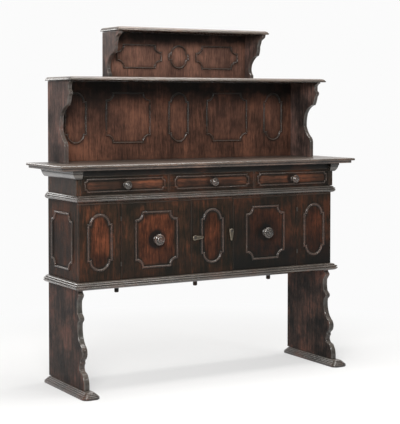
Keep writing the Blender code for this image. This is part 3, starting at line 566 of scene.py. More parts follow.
# The top rail sits in the shadow of the table top's overhang; its darkening is painted shade.
plain_board("top_rail", WALNUT_X, darkening=0.8)
plain_board("case_back", SOFTWOOD_X)
plain_board("frieze_back", SOFTWOOD_X)
for node in ("bottom_board", "dust_board"):
    low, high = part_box(node)
    plain_board(node, WALNUT_X, low=Vector((low.x, low.y, high.z - BOARD)))
plain_board("dust_board", WALNUT_X, high=Vector((high.x, FRONT + LIP_DEPTH, high.z - BOARD)),
            name="dust_board_lip", stands_for=False)
for side in SIDES:
    # The dividers between the drawers take painted shade too.
    plain_board(f"{side}_drawer_divider", WALNUT_Y, darkening=0.4)
    node = f"{side}_frieze_side"
    low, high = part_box(node)
    strip_low = Vector((low.x, FRONT + STRIP_CLEAR, low.z + STRIP_CLEAR))
    strip_high = Vector((high.x, FRONT + STRIP_DEPTH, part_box(f"{side}_cove")[0].z - SEAT))
    if side == "left":
        low.x, strip_high.x = -CASE_HALF, -CASE_HALF - SEAT
    else:
        high.x, strip_low.x = CASE_HALF, CASE_HALF + SEAT
    low.y, high.y = FRONT, BACK
    plain_board(node, WALNUT_Z, low, high)
    plain_board(node, WALNUT_Z, strip_low, strip_high, f"{side}_corner_strip", False)
print("plain boards:", len(made_pieces), "front plane:", round(FRONT, 4), "back plane:", round(BACK, 4))

# %% [markdown]
# ## Boards that keep the shape of their solid
# The drawer boxes are hollow, so drawing them again would only repeat numbers. A copy of the solid
# is merged, its flat faces are joined, and its arrises are bevelled. A narrow ring inside each wide
# face keeps the rubbed look on the edge.

# %% Eased copies of solids
WORDS = ("left", "centre", "right")
COPY_ARRIS = 0.0012
WIDE_FACE = 6e-4           # square metres
RUBBED_RING = 0.003


def eased_copy(node, look, body):
    bm = bmesh.new()
    bm.from_mesh(solids[node].data)
    bmesh.ops.remove_doubles(bm, verts=bm.verts, dist=1e-5)
    bmesh.ops.dissolve_limit(bm, angle_limit=math.radians(1.0), verts=bm.verts, edges=bm.edges)
    arrises = [e for e in bm.edges if e.is_manifold and e.calc_face_angle(0.0) > math.radians(25)]
    bmesh.ops.bevel(bm, geom=arrises, offset=COPY_ARRIS, segments=2, profile=0.5, affect="EDGES",
                    clamp_overlap=True)
    wear = masks(bm)[0]
    for vert in bm.verts:
        vert[wear] = 0.9
    wide = [f for f in bm.faces if f.calc_area() > WIDE_FACE]
    bmesh.ops.inset_individual(bm, faces=wide, thickness=RUBBED_RING, use_even_offset=True)
    for face in wide:
        for vert in face.verts:
            vert[wear] = 0.0
    return finish_piece(f"{node}_eased", bm, look, body, (node,))


for word in WORDS:
    eased_copy(f"{word}_drawer_box", SOFTWOOD_Y, f"{word}_drawer")
print("eased copies:", [p.name for p in made_pieces[-3:]])

# %% [markdown]
# ## The outlines of the cartouches
# Two outlines repeat all over the piece: a rectangle whose corners are bitten away by quarter
# circles, and a narrow upright with a round arch and two small ears at each end. They are drawn
# once as functions, in the plane of the board, and measured along the middle of the moulding.

# %% Outlines
def notched(width, height, radius, steps=10):
    points = []
    for k, (sx, sz) in enumerate(((1, -1), (1, 1), (-1, 1), (-1, -1))):
        for i in range(steps + 1):
            angle = math.radians(180 + 90 * k - 90 * i / steps)
            points.append((sx * width / 2 + radius * math.cos(angle),
                           sz * height / 2 + radius * math.sin(angle)))
    return points


def arched(width, height, ear=0.010, steps=22):
    radius = width / 2 - ear
    spring = height / 2 - radius
    top = [(width / 2, spring)]
    for i in range(steps + 1):
        angle = math.pi * i / steps
        top.append((radius * math.cos(angle), spring + radius * math.sin(angle)))
    top.append((-width / 2, spring))
    return top + [(-u, -v) for u, v in top]


GALLERY_NARROW_WIDTH = 0.100
UPPER_FIELD_WIDTH = 0.222
NARROW = arched(0.107, 0.232)
DOOR_FIELD = notched(0.198, 0.232, 0.033)
SIDE_FIELD = notched(0.204, 0.232, 0.033)
GALLERY_NARROW = arched(GALLERY_NARROW_WIDTH, 0.220)
BACK_FIELD = notched(0.216, 0.220, 0.033)
UPPER_NARROW = arched(0.100, 0.101)
UPPER_FIELD = notched(UPPER_FIELD_WIDTH, 0.101, 0.033)
DRAWER_FIELD = notched(0.374, 0.050, 0.010, 6)
print("outline points:", len(NARROW), len(DOOR_FIELD), len(DRAWER_FIELD))

# %% [markdown]
# ## Panelled boards
# Doors, fixed panels, case sides, drawer fronts and gallery backs are boards with mouldings laid on
# them. On the real ones the dirt gathers beside the moulding and along the board's edges, and the
# middle of each field is the cleanest place. The distance from the outline gives all of that, so it
# is measured for each point of the board's face. The same mask also carries painted shade under the
# shelves of the gallery and on the right-hand boards, and makes the front boards darker towards the
# bottom.

# %% Masks from the outlines
def inside_distance(points, outline):
    """Distance of points from a closed outline: positive inside, negative outside."""
    p, a = np.asarray(points), np.asarray(outline)
    b = np.roll(a, -1, 0)
    run = b - a
    t = np.clip(((p[:, None] - a) * run).sum(2) / (run ** 2).sum(1), 0, 1)
    gap = np.linalg.norm(p[:, None] - a - t[..., None] * run, axis=2).min(1)
    rise = np.where(np.abs(run[:, 1]) < 1e-12, 1e-12, run[:, 1])
    across = a[:, 0] + (p[:, None, 1] - a[:, 1]) / rise * run[:, 0]
    crossed = ((a[:, 1] > p[:, None, 1]) != (b[:, 1] > p[:, None, 1])) & (p[:, None, 0] < across)
    return np.where(crossed.sum(1) % 2 == 1, gap, -gap)


def smooth(values, low, high):
    t = np.clip((values - low) / (high - low), 0, 1)
    return t * t * (3 - 2 * t)


def under_shelf(heights, low, high):
    """Share of the shade that a shelf at the top throws on a board between two heights."""
    return 1 - smooth(high - heights, 0.08 * (high - low), 0.42 * (high - low))


FACE_DEPTH = 0.004         # metres from the face within which a point belongs to it
RIM_REACH = 0.018          # metres over which the soot of the rims fades
BEAD_REACH = 0.0055        # metres over which the soot beside a bead fades
KNOB_SOOT = 0.95


def store_masks(bm, axis, face, fields, soft, bead, knobs=(), strength=1.0, base=0.0, rims=0.55,
                darker_below=0.0, painted_shelf_shade=0.0, beside=0.85):
    """Field, dirt and painted shade on the face at coordinate face of the given axis. Knobs are (u, v,
    radius).
    """
    _, dirt, field = masks(bm)
    level = 0 if axis == 1 else 1
    verts = list(bm.verts)
    flat = np.array([(v.co[level], v.co.z) for v in verts])
    on_face = np.array([abs(v.co[axis] - face) < FACE_DEPTH for v in verts])
    low, high = flat.min(0), flat.max(0)
    rim = np.minimum(flat - low, high - flat).min(1)
    darkening = np.maximum(base, rims * np.exp(-rim / RIM_REACH))
    # The boards grow darker towards the bottom.
    lower_part = 1 - smooth(flat[:, 1] - low[1], 0.04, 0.62 * (high[1] - low[1]))
    darkening = np.maximum(darkening, base + darker_below * lower_part)
    # Painted shade that a shelf at the top throws on the board.
    darkening = np.maximum(darkening, painted_shelf_shade * under_shelf(flat[:, 1], low[1], high[1]))
    bright = np.zeros(len(verts))
    for (u, v), outline in fields:
        gap = inside_distance(flat - (u, v), outline)
        bright = np.maximum(bright, smooth(gap, bead / 2, bead / 2 + soft))
        darkening = np.maximum(darkening, beside * np.exp(-np.maximum(np.abs(gap) - bead / 2, 0) / BEAD_REACH))
    for u, v, radius in knobs:
        reach = np.hypot(*(flat - (u, v)).T)
        darkening = np.maximum(darkening, KNOB_SOOT * (1 - smooth(reach, 1.15 * radius, 2.3 * radius)))
    for vert, fits, s, f in zip(verts, on_face, darkening, bright):
        if fits:
            vert[dirt], vert[field] = float(s), strength * float(f)


# %% Doors, fixed front panels and the centre panel
ACROSS, DEEP, UP = 0, 1, 2
CASE_BEAD, DRAWER_BEAD, GALLERY_BEAD = 0.0115, 0.008, 0.0095    # widths of the beads
FRONT_GRID, FRONT_SOFT = 0.006, 0.014       # step of the points, and reach of the dark rim of a field
DOOR_KNOB, DRAWER_KNOB = 0.025, 0.0185      # radii
STOP_WIDTH, STOP_SETBACK = 0.012, 0.021     # of the door stops beside the centre panel
# Partly painted shade of the light falling off to the right, partly darker wood on the right-hand boards.
RIGHT_TONE_AND_SHADE = 0.45                           # the right-hand boards are the darker ones


def middle(node, axis):
    low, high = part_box(node)
    return (low[axis] + high[axis]) / 2


def front_board(node, body, fields, knobs=(), step=FRONT_GRID, look=PANEL, bead=CASE_BEAD, soft=FRONT_SOFT,
                base=0.0):
    low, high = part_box(node)
    bm = eased_board(Vector((low.x, FRONT, low.z)), high, step=step)
    store_masks(bm, 1, FRONT, fields, soft, bead, knobs, base=base, darker_below=0.42)
    return finish_piece(f"{node}_board", bm, look, body, (node,))


z_mid = middle("left_door", UP)
door_x = {side: middle(f"{side}_door", ACROSS) for side in SIDES}
panel_x = {side: middle(f"{side}_front_panel", ACROSS) for side in SIDES}
for side in SIDES:
    base = 0.0 if side == "left" else RIGHT_TONE_AND_SHADE
    front_board(f"{side}_door", f"{side}_door_body", [((door_x[side], z_mid), DOOR_FIELD)],
                [(door_x[side], z_mid, DOOR_KNOB)], base=base)
    front_board(f"{side}_front_panel", "carcass", [((panel_x[side], z_mid), NARROW)], base=base)
low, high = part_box("centre_front_panel")
stop_y = FRONT + STOP_SETBACK
bm = eased_board(Vector((low.x + STOP_WIDTH, FRONT, low.z)), Vector((high.x - STOP_WIDTH, stop_y, high.z)),
                 step=FRONT_GRID)
store_masks(bm, 1, FRONT, [((0.0, z_mid), NARROW)], FRONT_SOFT, CASE_BEAD, darker_below=0.3)
finish_piece("centre_front_panel_board", bm, PANEL, "carcass", ("centre_front_panel",))
plain_board("centre_front_panel", WALNUT_Z, low=Vector((low.x, stop_y, low.z)), name="door_stop",
            stands_for=False)
print("front boards at z", round(z_mid, 4), "doors at x", door_x)

# %% Case sides
SIDE_GRID, SIDE_SOFT = 0.007, 0.018
side_y = middle("right_case_side", DEEP)
for sign, side in SIGNED_SIDES:
    low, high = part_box(f"{side}_case_side")
    outer = sign * CASE_HALF
    left, right = (outer, high.x) if sign < 0 else (low.x, outer)
    bm = eased_board(Vector((left, low.y, low.z)), Vector((right, high.y, high.z)), step=SIDE_GRID)
    store_masks(bm, 0, outer, [((side_y, z_mid), SIDE_FIELD)], SIDE_SOFT, CASE_BEAD, strength=0.55, base=0.3)
    finish_piece(f"{side}_case_side_board", bm, PANEL, "carcass", (f"{side}_case_side",))
print("side fields centred at y", round(side_y, 4))

# %% Drawer fronts
DRAWER_GRID, DRAWER_SOFT = 0.005, 0.012
DRAWER_MARK = 0.018          # radius from which the soot round a drawer's knob is measured
drawer_x = {word: middle(f"{word}_drawer_front", ACROSS) for word in WORDS}
drawer_z = middle("centre_drawer_front", UP)
for word, x in drawer_x.items():
    base = 0.25 if word == "centre" else 0.0
    front_board(f"{word}_drawer_front", f"{word}_drawer", [((x, drawer_z), DRAWER_FIELD)],
                [(x, drawer_z, DRAWER_MARK)], DRAWER_GRID, DRAWER, DRAWER_BEAD, DRAWER_SOFT, base)
print("drawers at x", drawer_x, "z", round(drawer_z, 4))

# %% Gallery backs
GALLERY_THICKNESS = 0.016
GALLERY_GRID, GALLERY_SOFT = 0.008, 0.016
# Most painted shade under a shelf of the gallery.
GALLERY_SHADE = 0.92
LOWER_MARGIN, UPPER_MARGIN = 0.055, 0.046     # from the ends of a board to its outer fields
LOWER_LIFT, UPPER_LIFT = 0.013, -0.005        # of the fields, from the middle of their board
GALLERY = BACK - GALLERY_THICKNESS
lower_low, lower_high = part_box("lower_back_panel")
upper_low, upper_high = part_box("upper_back_panel")
lower_z = middle("lower_back_panel", UP) + LOWER_LIFT
upper_z = middle("upper_back_panel", UP) + UPPER_LIFT
reach = lower_high.x - LOWER_MARGIN - GALLERY_NARROW_WIDTH / 2
lower_fields = [((x, lower_z), GALLERY_NARROW) for x in (-reach, 0.0, reach)]
lower_fields += [((x, lower_z), BACK_FIELD) for x in (-reach / 2, reach / 2)]
span = upper_high.x - UPPER_MARGIN - UPPER_FIELD_WIDTH / 2
upper_fields = [((0.0, upper_z), UPPER_NARROW)] + [((x, upper_z), UPPER_FIELD) for x in (-span, span)]
for node, fields, look in (("lower_back_panel", lower_fields, LONG_PANEL),
                           ("upper_back_panel", upper_fields, UPPER_PANEL)):
    low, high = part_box(node)
    bm = eased_board(Vector((low.x, GALLERY, low.z)), high, step=GALLERY_GRID)
    # The dark band under each shelf of the gallery is painted shade.
    store_masks(bm, 1, GALLERY, fields, GALLERY_SOFT, GALLERY_BEAD, rims=0.3, painted_shelf_shade=GALLERY_SHADE,
                beside=0.5)
    finish_piece(f"{node}_board", bm, look, "carcass", (node,))
print("gallery fields:", len(lower_fields), "below,", len(upper_fields), "above")

# %% [markdown]
# ## The cartouche mouldings, grown by Geometry Nodes
# On the real boards these are thin strips, planed to a half round between two fillets, mitred at
# each corner and glued on. All of them follow the same rule, so one node tree makes them. It takes
# the outline as edges, and each step pulls the newest edges to the next point of the section. Curve
# to Mesh would be shorter, but it pinches the section in the mitres. The stored vector "across" is
# already stretched at the corners, so here the mitres keep their width.

# %% Section and node tree of the bead
# (share of half the width, share of the height, wear, dirt)
BEAD_SECTION = (
    (1.0, -0.15, 0.0, 1.0), (1.0, 0.20, 0.1, 0.7), (0.94, 0.29, 0.5, 0.2), (0.80, 0.33, 0.1, 0.5),
    (0.71, 0.40, 0.0, 0.6), (0.63, 0.62, 0.3, 0.1), (0.47, 0.84, 0.9, 0.0), (0.24, 0.97, 1.0, 0.0),
    (0.0, 1.0, 1.0, 0.0), (-0.24, 0.97, 1.0, 0.0), (-0.47, 0.84, 0.8, 0.0), (-0.63, 0.62, 0.3, 0.1),
    (-0.71, 0.40, 0.0, 0.6), (-0.80, 0.33, 0.1, 0.5), (-0.94, 0.27, 0.3, 0.3), (-1.0, 0.18, 0.1, 0.8),
    (-1.0, -0.15, 0.0, 1.0),
)


def new_shape_tree(name, taken, inputs, grown):
    """Geometry tree with one shape in, further inputs of given kinds, and one shape out."""
    made = bpy.data.node_groups.new(name, "GeometryNodeTree")
    face = made.interface
    face.new_socket(taken, in_out="INPUT", socket_type="NodeSocketGeometry")
    keys = [face.new_socket(label, in_out="INPUT", socket_type=f"NodeSocket{kind}").identifier
            for label, kind in inputs.items()]
    face.new_socket(grown, in_out="OUTPUT", socket_type="NodeSocketGeometry")
    return made, keys, add_node(made, "NodeGroupInput").outputs


def bead_tree():
    inputs = {"Bead width": "Float", "Bead height": "Float", "Finish": "Material"}
    made, keys, given = new_shape_tree("cartouche_bead", "Outline", inputs, "Bead")
    arrows = [output(made, "GeometryNodeInputNamedAttribute", {"Name": name}, data_type="FLOAT_VECTOR")
              for name in ("across", "outward")]

    def shift(share_out, share_up):
        half = maths(made, "MULTIPLY", given["Bead width"], share_out / 2)
        lift = maths(made, "MULTIPLY", given["Bead height"], share_up)
        parts = [output(made, "ShaderNodeVectorMath", {0: arrow, "Scale": size}, operation="SCALE")
                 for arrow, size in zip(arrows, (half, lift))]
        return output(made, "ShaderNodeVectorMath", {0: parts[0], 1: parts[1]}, operation="ADD")

    def mark(shape, where, wear, dirt):
        for name, value in (("wear", wear), ("dirt", dirt)):
            values = {"Geometry": shape, "Name": name, "Value": value}
            if where:
                values["Selection"] = where
            shape = output(made, "GeometryNodeStoreNamedAttribute", values, data_type="FLOAT", domain="POINT")
        return shape

    first = BEAD_SECTION[0]
    values = {"Geometry": given["Outline"], "Offset": shift(*first[:2])}
    shape = mark(output(made, "GeometryNodeSetPosition", values), None, *first[2:])
    newest = None
    for before, after in zip(BEAD_SECTION, BEAD_SECTION[1:] + BEAD_SECTION[:1]):
        values = {"Mesh": shape, "Offset": shift(after[0] - before[0], after[1] - before[1])}
        if newest:
            values["Selection"] = newest
        pull = add_node(made, "GeometryNodeExtrudeMesh", values, mode="EDGES")
        newest = pull.outputs["Top"]
        shape = mark(pull.outputs["Mesh"], newest, *after[2:])
    shape = output(made, "GeometryNodeMergeByDistance", {"Geometry": shape, "Distance": 0.00002})
    shape = output(made, "GeometryNodeRealizeInstances", {"Geometry": shape})
    shape = output(made, "GeometryNodeSetMaterial", {"Geometry": shape, "Material": given["Finish"]})
    made.links.new(shape, add_node(made, "NodeGroupOutput").inputs["Bead"])
    return made, keys


BEAD_TREE, BEAD_KEYS = bead_tree()
print("bead tree:", len(BEAD_TREE.nodes), "nodes for", len(BEAD_SECTION), "section points")

# %% Outlines become edges with arrows
def as_plain_mesh(piece):
    """Replace a piece's mesh by what its modifiers make of it."""
    graph = bpy.context.evaluated_depsgraph_get()
    grown = bpy.data.meshes.new_from_object(piece.evaluated_get(graph))
    piece.modifiers.clear()
    piece.data = grown
    bm = bmesh.new()
    bm.from_mesh(grown)
    bmesh.ops.recalc_face_normals(bm, faces=bm.faces)
    bm.to_mesh(grown)
    bm.free()
    grown.shade_smooth()
    grown.set_sharp_from_angle(angle=math.radians(42))


def mitres(outline):
    """Outward arrow of each point of a closed outline, stretched at the corners."""
    arrows = []
    for i, (u, v) in enumerate(outline):
        before = Vector((u - outline[i - 1][0], v - outline[i - 1][1])).normalized()
        after = outline[(i + 1) % len(outline)]
        after = Vector((after[0] - u, after[1] - v)).normalized()
        first, second = Vector((before.y, -before.x)), Vector((after.y, -after.x))
        arrows.append((first + second) / (1 + first.dot(second)))
    return arrows


def lay_beads(name, body, runs, width, height=0.0055):
    """Grow beads along runs of (outline, place function); place maps u, v, out to the part."""
    points, edges, across, outward = [], [], [], []
    for outline, place in runs:
        start, zero = len(points), Vector(place(0, 0, 0))
        for (u, v), arrow in zip(outline, mitres(outline)):
            points.append(place(u, v, 0))
            across.extend(Vector(place(arrow.x, arrow.y, 0)) - zero)
            outward.extend((Vector(place(0, 0, 1)) - zero).normalized())
        count = len(outline)
        edges += [(start + i, start + (i + 1) % count) for i in range(count)]
    mesh = bpy.data.meshes.new(name)
    mesh.from_pydata(points, edges, [])
    for key, values in (("across", across), ("outward", outward)):
        mesh.attributes.new(key, "FLOAT_VECTOR", "POINT").data.foreach_set("vector", values)
    piece = bpy.data.objects.new(name, mesh)
    bpy.context.scene.collection.objects.link(piece)
    grow = piece.modifiers.new("bead", "NODES")
    grow.node_group = BEAD_TREE
    for key, value in zip(BEAD_KEYS, (width, height, BEADED)):
        grow[key] = value
    as_plain_mesh(piece)
    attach(piece, body)
    made_pieces.append(piece)
    print(name, "faces:", len(piece.data.polygons))
    return piece


# %% Lay every bead
def on_front(x, y, z):
    return lambda u, v, out: (x + u, y - out, z + v)


def on_side(sign):
    return lambda u, v, out: (sign * (CASE_HALF + out), side_y + u, z_mid + v)


def change_mask(piece, name, rule):
    """Put a stored mask of a finished piece through a rule."""
    data = piece.data.attributes[name].data
    values = np.zeros(len(data))
    data.foreach_get("value", values)
    data.foreach_set("value", rule(values))


fixed_runs = [(NARROW, on_front(x, FRONT, z_mid)) for x in (panel_x["left"], 0.0, panel_x["right"])]
fixed_runs += [(SIDE_FIELD, on_side(sign)) for sign in (-1, 1)]
lay_beads("case_beads", "carcass", fixed_runs, CASE_BEAD)
gallery_runs = [(outline, on_front(u, GALLERY, v)) for (u, v), outline in lower_fields + upper_fields]
gallery = lay_beads("gallery_beads", "carcass", gallery_runs, GALLERY_BEAD)
# Under each shelf the gallery beads take the same painted shade: more darkening and less rubbed sheen.
heights = np.array([v.co.z for v in gallery.data.vertices])
shade = np.where(heights < lower_high.z, under_shelf(heights, lower_low.z, lower_high.z),
                 under_shelf(heights, upper_low.z, upper_high.z))
change_mask(gallery, "dirt", lambda old: np.maximum(old, GALLERY_SHADE * shade))
change_mask(gallery, "wear", lambda old: old * (1 - shade))
for side in SIDES:
    runs = [(DOOR_FIELD, on_front(door_x[side], FRONT, z_mid))]
    lay_beads(f"{side}_door_bead", f"{side}_door_body", runs, CASE_BEAD)
for word, x in drawer_x.items():
    runs = [(DRAWER_FIELD, on_front(x, FRONT, drawer_z))]
    lay_beads(f"{word}_drawer_bead", f"{word}_drawer", runs, DRAWER_BEAD)

# %% [markdown]
# ## Scrolled planks
# Legs and gallery brackets are planks with a front edge cut by a bow saw along a chain of arcs, then
# rounded with a file. The chain is written as points with a bow for each stretch, as a template
# would be. Loops of the same outline, drawn in a little near each face, make the rounded arrises.

# %% Arcs, offsets and skins
def bowed(chain, steps=12):
    """Points along straight and bowed stretches; a positive bow is to the right."""
    points = []
    for (u0, v0, bow), (u1, v1, _) in zip(chain, chain[1:]):
        chord = math.hypot(u1 - u0, v1 - v0)
        points.append((u0, v0))
        if bow == 0:
            continue
        du, dv = (u1 - u0) / chord, (v1 - v0) / chord
        radius = (chord * chord / 4 + bow * bow) / (2 * abs(bow))
        half = 2 * math.atan2(2 * abs(bow), chord)
        for k in range(1, steps):
            angle = -half + 2 * half * k / steps
            along = chord / 2 + radius * math.sin(angle)
            out = math.copysign(radius * math.cos(angle) - (radius - abs(bow)), bow)
            points.append((u0 + du * along + dv * out, v0 + dv * along - du * out))
    points.append(chain[-1][:2])
    return points


def drawn_in(outline, inset):
    """The same closed outline, moved inward by inset."""
    area = sum(a[0] * b[1] - b[0] * a[1] for a, b in zip(outline, outline[1:] + outline[:1]))
    sign = -1.0 if area > 0 else 1.0
    return [(u + sign * inset * m.x, v + sign * inset * m.y) for (u, v), m in zip(outline, mitres(outline))]


def skin(loops, marks):
    """Skin equal closed loops and close both ends; marks hold (wear, dirt) for each point."""
    bm = bmesh.new()
    wear, dirt, _ = masks(bm)
    rows = []
    for loop, loop_marks in zip(loops, marks):
        row = [bm.verts.new(p) for p in loop]
        for vert, (rub_and_sheen, darkening) in zip(row, loop_marks):
            vert[wear], vert[dirt] = rub_and_sheen, darkening
        rows.append(row)
    for low, high in zip(rows, rows[1:]):
        for i in range(len(low)):
            j = (i + 1) % len(low)
            bm.faces.new((low[i], low[j], high[j], high[i]))
    ends = [bm.faces.new(rows[0]), bm.faces.new(rows[-1])]
    for end in ends:
        end.normal_update()
    bmesh.ops.triangulate(bm, faces=ends)
    return bm


def skin_levels(loops, levels):
    """Skin loops; the third and fourth value of each level are the loop's wear and dirt."""
    return skin(loops, [[level[2:]] * len(loop) for loop, level in zip(loops, levels)])


# %% Legs and brackets
LEG_SCROLL = (
    (0.046, 0.0, 0.0), (0.046, 0.047, 0.004), (0.027, 0.155, 0.0), (0.008, 0.172, -0.003),
    (0.000, 0.222, -0.001), (0.007, 0.250, 0.001), (0.006, 0.270, 0.0), (0.010, 0.288, 0.018),
    (0.011, 0.430, 0.0), (-0.002, 0.463, -0.007), (-0.0165, 0.643, 0.0), (-0.003, 0.674, 0.003),
    (-0.007, 0.711, 0.0), (-0.019, 0.735, -0.003), (-0.022, 0.863, 0.0), (-0.006, 0.908, 0.002),
    (-0.007, 0.933, 0.0), (-0.016, 0.953, 0.0), (-0.016, 1.0, 0.0),
)
LOWER_SCROLL = (
    (-0.085, 0.0, 0.0), (-0.085, 0.205, 0.004), (-0.104, 0.280, -0.004), (-0.137, 0.415, -0.003),
    (-0.127, 0.585, -0.008), (-0.066, 0.697, 0.002), (-0.049, 0.807, 0.0), (-0.040, 0.833, 0.002),
    (-0.040, 0.870, 0.0), (-0.050, 0.892, 0.0), (-0.050, 0.944, -0.003), (-0.029, 0.985, 0.0),
    (-0.029, 1.0, 0.0),
)
UPPER_SCROLL = (
    (-0.119, 0.0, 0.0), (-0.119, 0.090, -0.003), (-0.134, 0.205, -0.002), (-0.127, 0.345, -0.006),
    (-0.072, 0.530, 0.004), (-0.060, 0.730, 0.0), (-0.046, 0.870, 0.0), (-0.026, 0.915, 0.002),
    (-0.016, 0.975, 0.0), (-0.016, 1.0, 0.0),
)


PLANK_ARRIS = 0.0018


def scrolled_plank(node, scroll, edge, low_z, look):
    low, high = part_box(node)
    chain = [(out, low_z + share * (high.z - low_z), bow) for out, share, bow in scroll]
    outline = [(edge - out, z) for out, z in bowed(chain)] + [(high.y, high.z), (high.y, low_z)]
    thick = high.x - low.x
    # (depth from a face, inset, wear with a painted sheen on the edges, dirt)
    layers = [(0.0, 0.0055, 0.0, 0.1), (0.0, 2.2 * PLANK_ARRIS, 0.15, 0.1), (0.0, PLANK_ARRIS, 0.6, 0.1),
              (0.30 * PLANK_ARRIS, 0.30 * PLANK_ARRIS, 1.0, 0.1), (PLANK_ARRIS, 0.0, 0.9, 0.55),
              (0.35 * thick, 0.0, 0.7, 0.55)]
    layers += [(thick - depth, *rest) for depth, *rest in reversed(layers)]
    loops = [[(low.x + depth, y, z) for y, z in drawn_in(outline, inset)] for depth, inset, *_ in layers]
    return finish_piece(f"{node}_plank", skin_levels(loops, layers), look, "carcass", (node,))


shelf_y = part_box("gallery_shelf")[0].y
top_shelf_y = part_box("top_shelf")[0].y
for side in SIDES:
    scrolled_plank(f"{side}_leg", LEG_SCROLL, FRONT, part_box(f"{side}_foot")[1].z + SEAT, LEG)
    for tier, scroll, edge in (("lower", LOWER_SCROLL, shelf_y), ("upper", UPPER_SCROLL, top_shelf_y)):
        node = f"{side}_{tier}_bracket"
        scrolled_plank(node, scroll, edge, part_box(node)[0].z, BRACKET)
print("planks:", [p.name for p in made_pieces[-6:]])

# %% [markdown]
# ## Table top and shelves
# Their edges are planed to a profile on the front and both ends and left square at the back. Each
# level of the profile is a loop round the board, with small rounded corners, and the loops follow
# the profile from the underside to the top. A slow noise pulls the edge in by parts of a millimetre,
# because no hand-planed edge of this length is dead straight.

# %% Moulded slabs
SLAB_CORNER = 0.003
FRONT_STEPS, SIDE_STEPS = 36, 8
SWAY = 0.0005                # most that the noise pulls an edge in
TOP_STRIP = 0.012            # height of the set-back strip under the edge of the table top
SHELF_LIP = 0.007            # height of the square edge of a shelf
SHELF_BEVEL = 0.020          # how far a shelf's edge is drawn in at the top


def slab_loop(half, front, back, z):
    inner, start = half - SLAB_CORNER, front + SLAB_CORNER
    points = [(-half, back + (start - back) * i / SIDE_STEPS) for i in range(SIDE_STEPS)]
    for sx, first in ((-1, 180), (1, 270)):
        for i in range(5):
            angle = math.radians(first + 90 * i / 4)
            points.append((sx * inner + SLAB_CORNER * math.cos(angle), start + SLAB_CORNER * math.sin(angle)))
        if sx < 0:
            points += [(-inner + 2 * inner * i / FRONT_STEPS, front) for i in range(1, FRONT_STEPS)]
    points += [(half, start + (back - start) * i / SIDE_STEPS) for i in range(1, SIDE_STEPS + 1)]
    points += [(half - 2 * half * i / FRONT_STEPS, back) for i in range(1, FRONT_STEPS)]
    made = []
    for x, y in points:
        wave = 0.5 + 0.5 * noise.noise(Vector((7 * x, 7 * y, 3.0)))
        sway = SWAY * wave if y < back - 1e-6 else 0.0
        made.append((x * (1 - sway / half), y + (sway if y < front + 0.1 else 0.0), z))
    return made


def moulded_slab(node, levels):
    """Levels are (height, inset from the widest edge, wear with a painted sheen on the edge, dirt)."""
    low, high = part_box(node)
    loops = [slab_loop(high.x - inset, low.y + inset, high.y, z) for z, inset, _, _ in levels]
    return finish_piece(f"{node}_slab", skin_levels(loops, levels), POLISHED, "carcass", (node,))


low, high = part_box("table_top")
strip = low.z - SEAT + TOP_STRIP
rise = high.z - strip
levels = [(low.z, 0.030, 0.0, 0.3), (low.z, 0.0145, 0.0, 0.3), (low.z + 0.0005, 0.0127, 0.5, 0.0),
          (low.z + 0.002, 0.012, 0.5, 0.0), (strip - 0.001, 0.012, 0.0, 0.6), (strip, 0.0108, 0.0, 0.9),
          (strip, 0.0034, 0.2, 0.1)]
for k in range(9):
    angle = math.radians(-60 + 150 * k / 8)
    rub_and_sheen = 0.3 + 0.7 * float(smooth(math.degrees(angle), -20, 50))
    levels.append((strip + rise * 0.42 + rise * (0.48 if angle < 0 else 0.58) * math.sin(angle),
                   0.0052 * (1 - math.cos(angle)), rub_and_sheen, 0.0))
levels += [(high.z, 0.0085, 0.35, 0.0), (high.z, 0.020, 0.05, 0.0), (high.z, 0.060, 0.0, 0.0)]
moulded_slab("table_top", levels)
for node in ("gallery_shelf", "top_shelf"):
    low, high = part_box(node)
    foot = low.z - SEAT + SHELF_LIP
    levels = [(low.z, 0.030, 0.0, 0.2), (low.z, 0.0035, 0.1, 0.1), (low.z + 0.0004, 0.0010, 0.7, 0.0),
              (low.z + 0.0014, 0.0, 0.9, 0.0), (foot - 0.0012, 0.0, 0.9, 0.0),
              (foot - 0.0003, 0.0006, 0.9, 0.0), (foot, 0.0022, 0.1, 0.6), (foot + 0.0006, 0.0030, 0.0, 0.8)]
    for k in range(1, 9):
        angle = math.pi / 2 * k / 8
        levels.append((foot + (high.z - foot) * math.sin(angle),
                       0.003 + (SHELF_BEVEL - 0.003) * (1 - math.cos(angle)),
                       0.5 * math.sin(angle), 0.25 * math.cos(angle)))
    levels += [(high.z, 0.024, 0.1, 0.0), (high.z, 0.050, 0.0, 0.0)]
    moulded_slab(node, levels)
print("slabs:", [p.name for p in made_pieces[-3:]])

# %% [markdown]
# ## Mouldings round the case
# The base and the waist carry two bold reeds with a sloping one above them, and a rounded moulding
# fills the corner under each end of the table top. On the real piece they are planed strips, mitred at
# the front corners. Each section is written as a few chains of points that meet in sharp grooves. A
# curve through the points of each chain makes the rounds, and loops of the section make the strip.

# %% Reeded strips
def smoothed(points, steps=4):
    """Smooth curve that passes through every one of the points."""
    rows = [Vector(p) for p in points]
    made = []
    for i in range(len(rows) - 1):
        a, b, c, d = rows[max(i - 1, 0)], rows[i], rows[i + 1], rows[min(i + 2, len(rows) - 1)]
        for k in range(steps):
            t = k / steps
            made.append(0.5 * (2 * b + (c - a) * t + (2 * a - 5 * b + 4 * c - d) * t * t
                               + (3 * b - a - 3 * c + d) * t * t * t))
    return made + [rows[-1]]


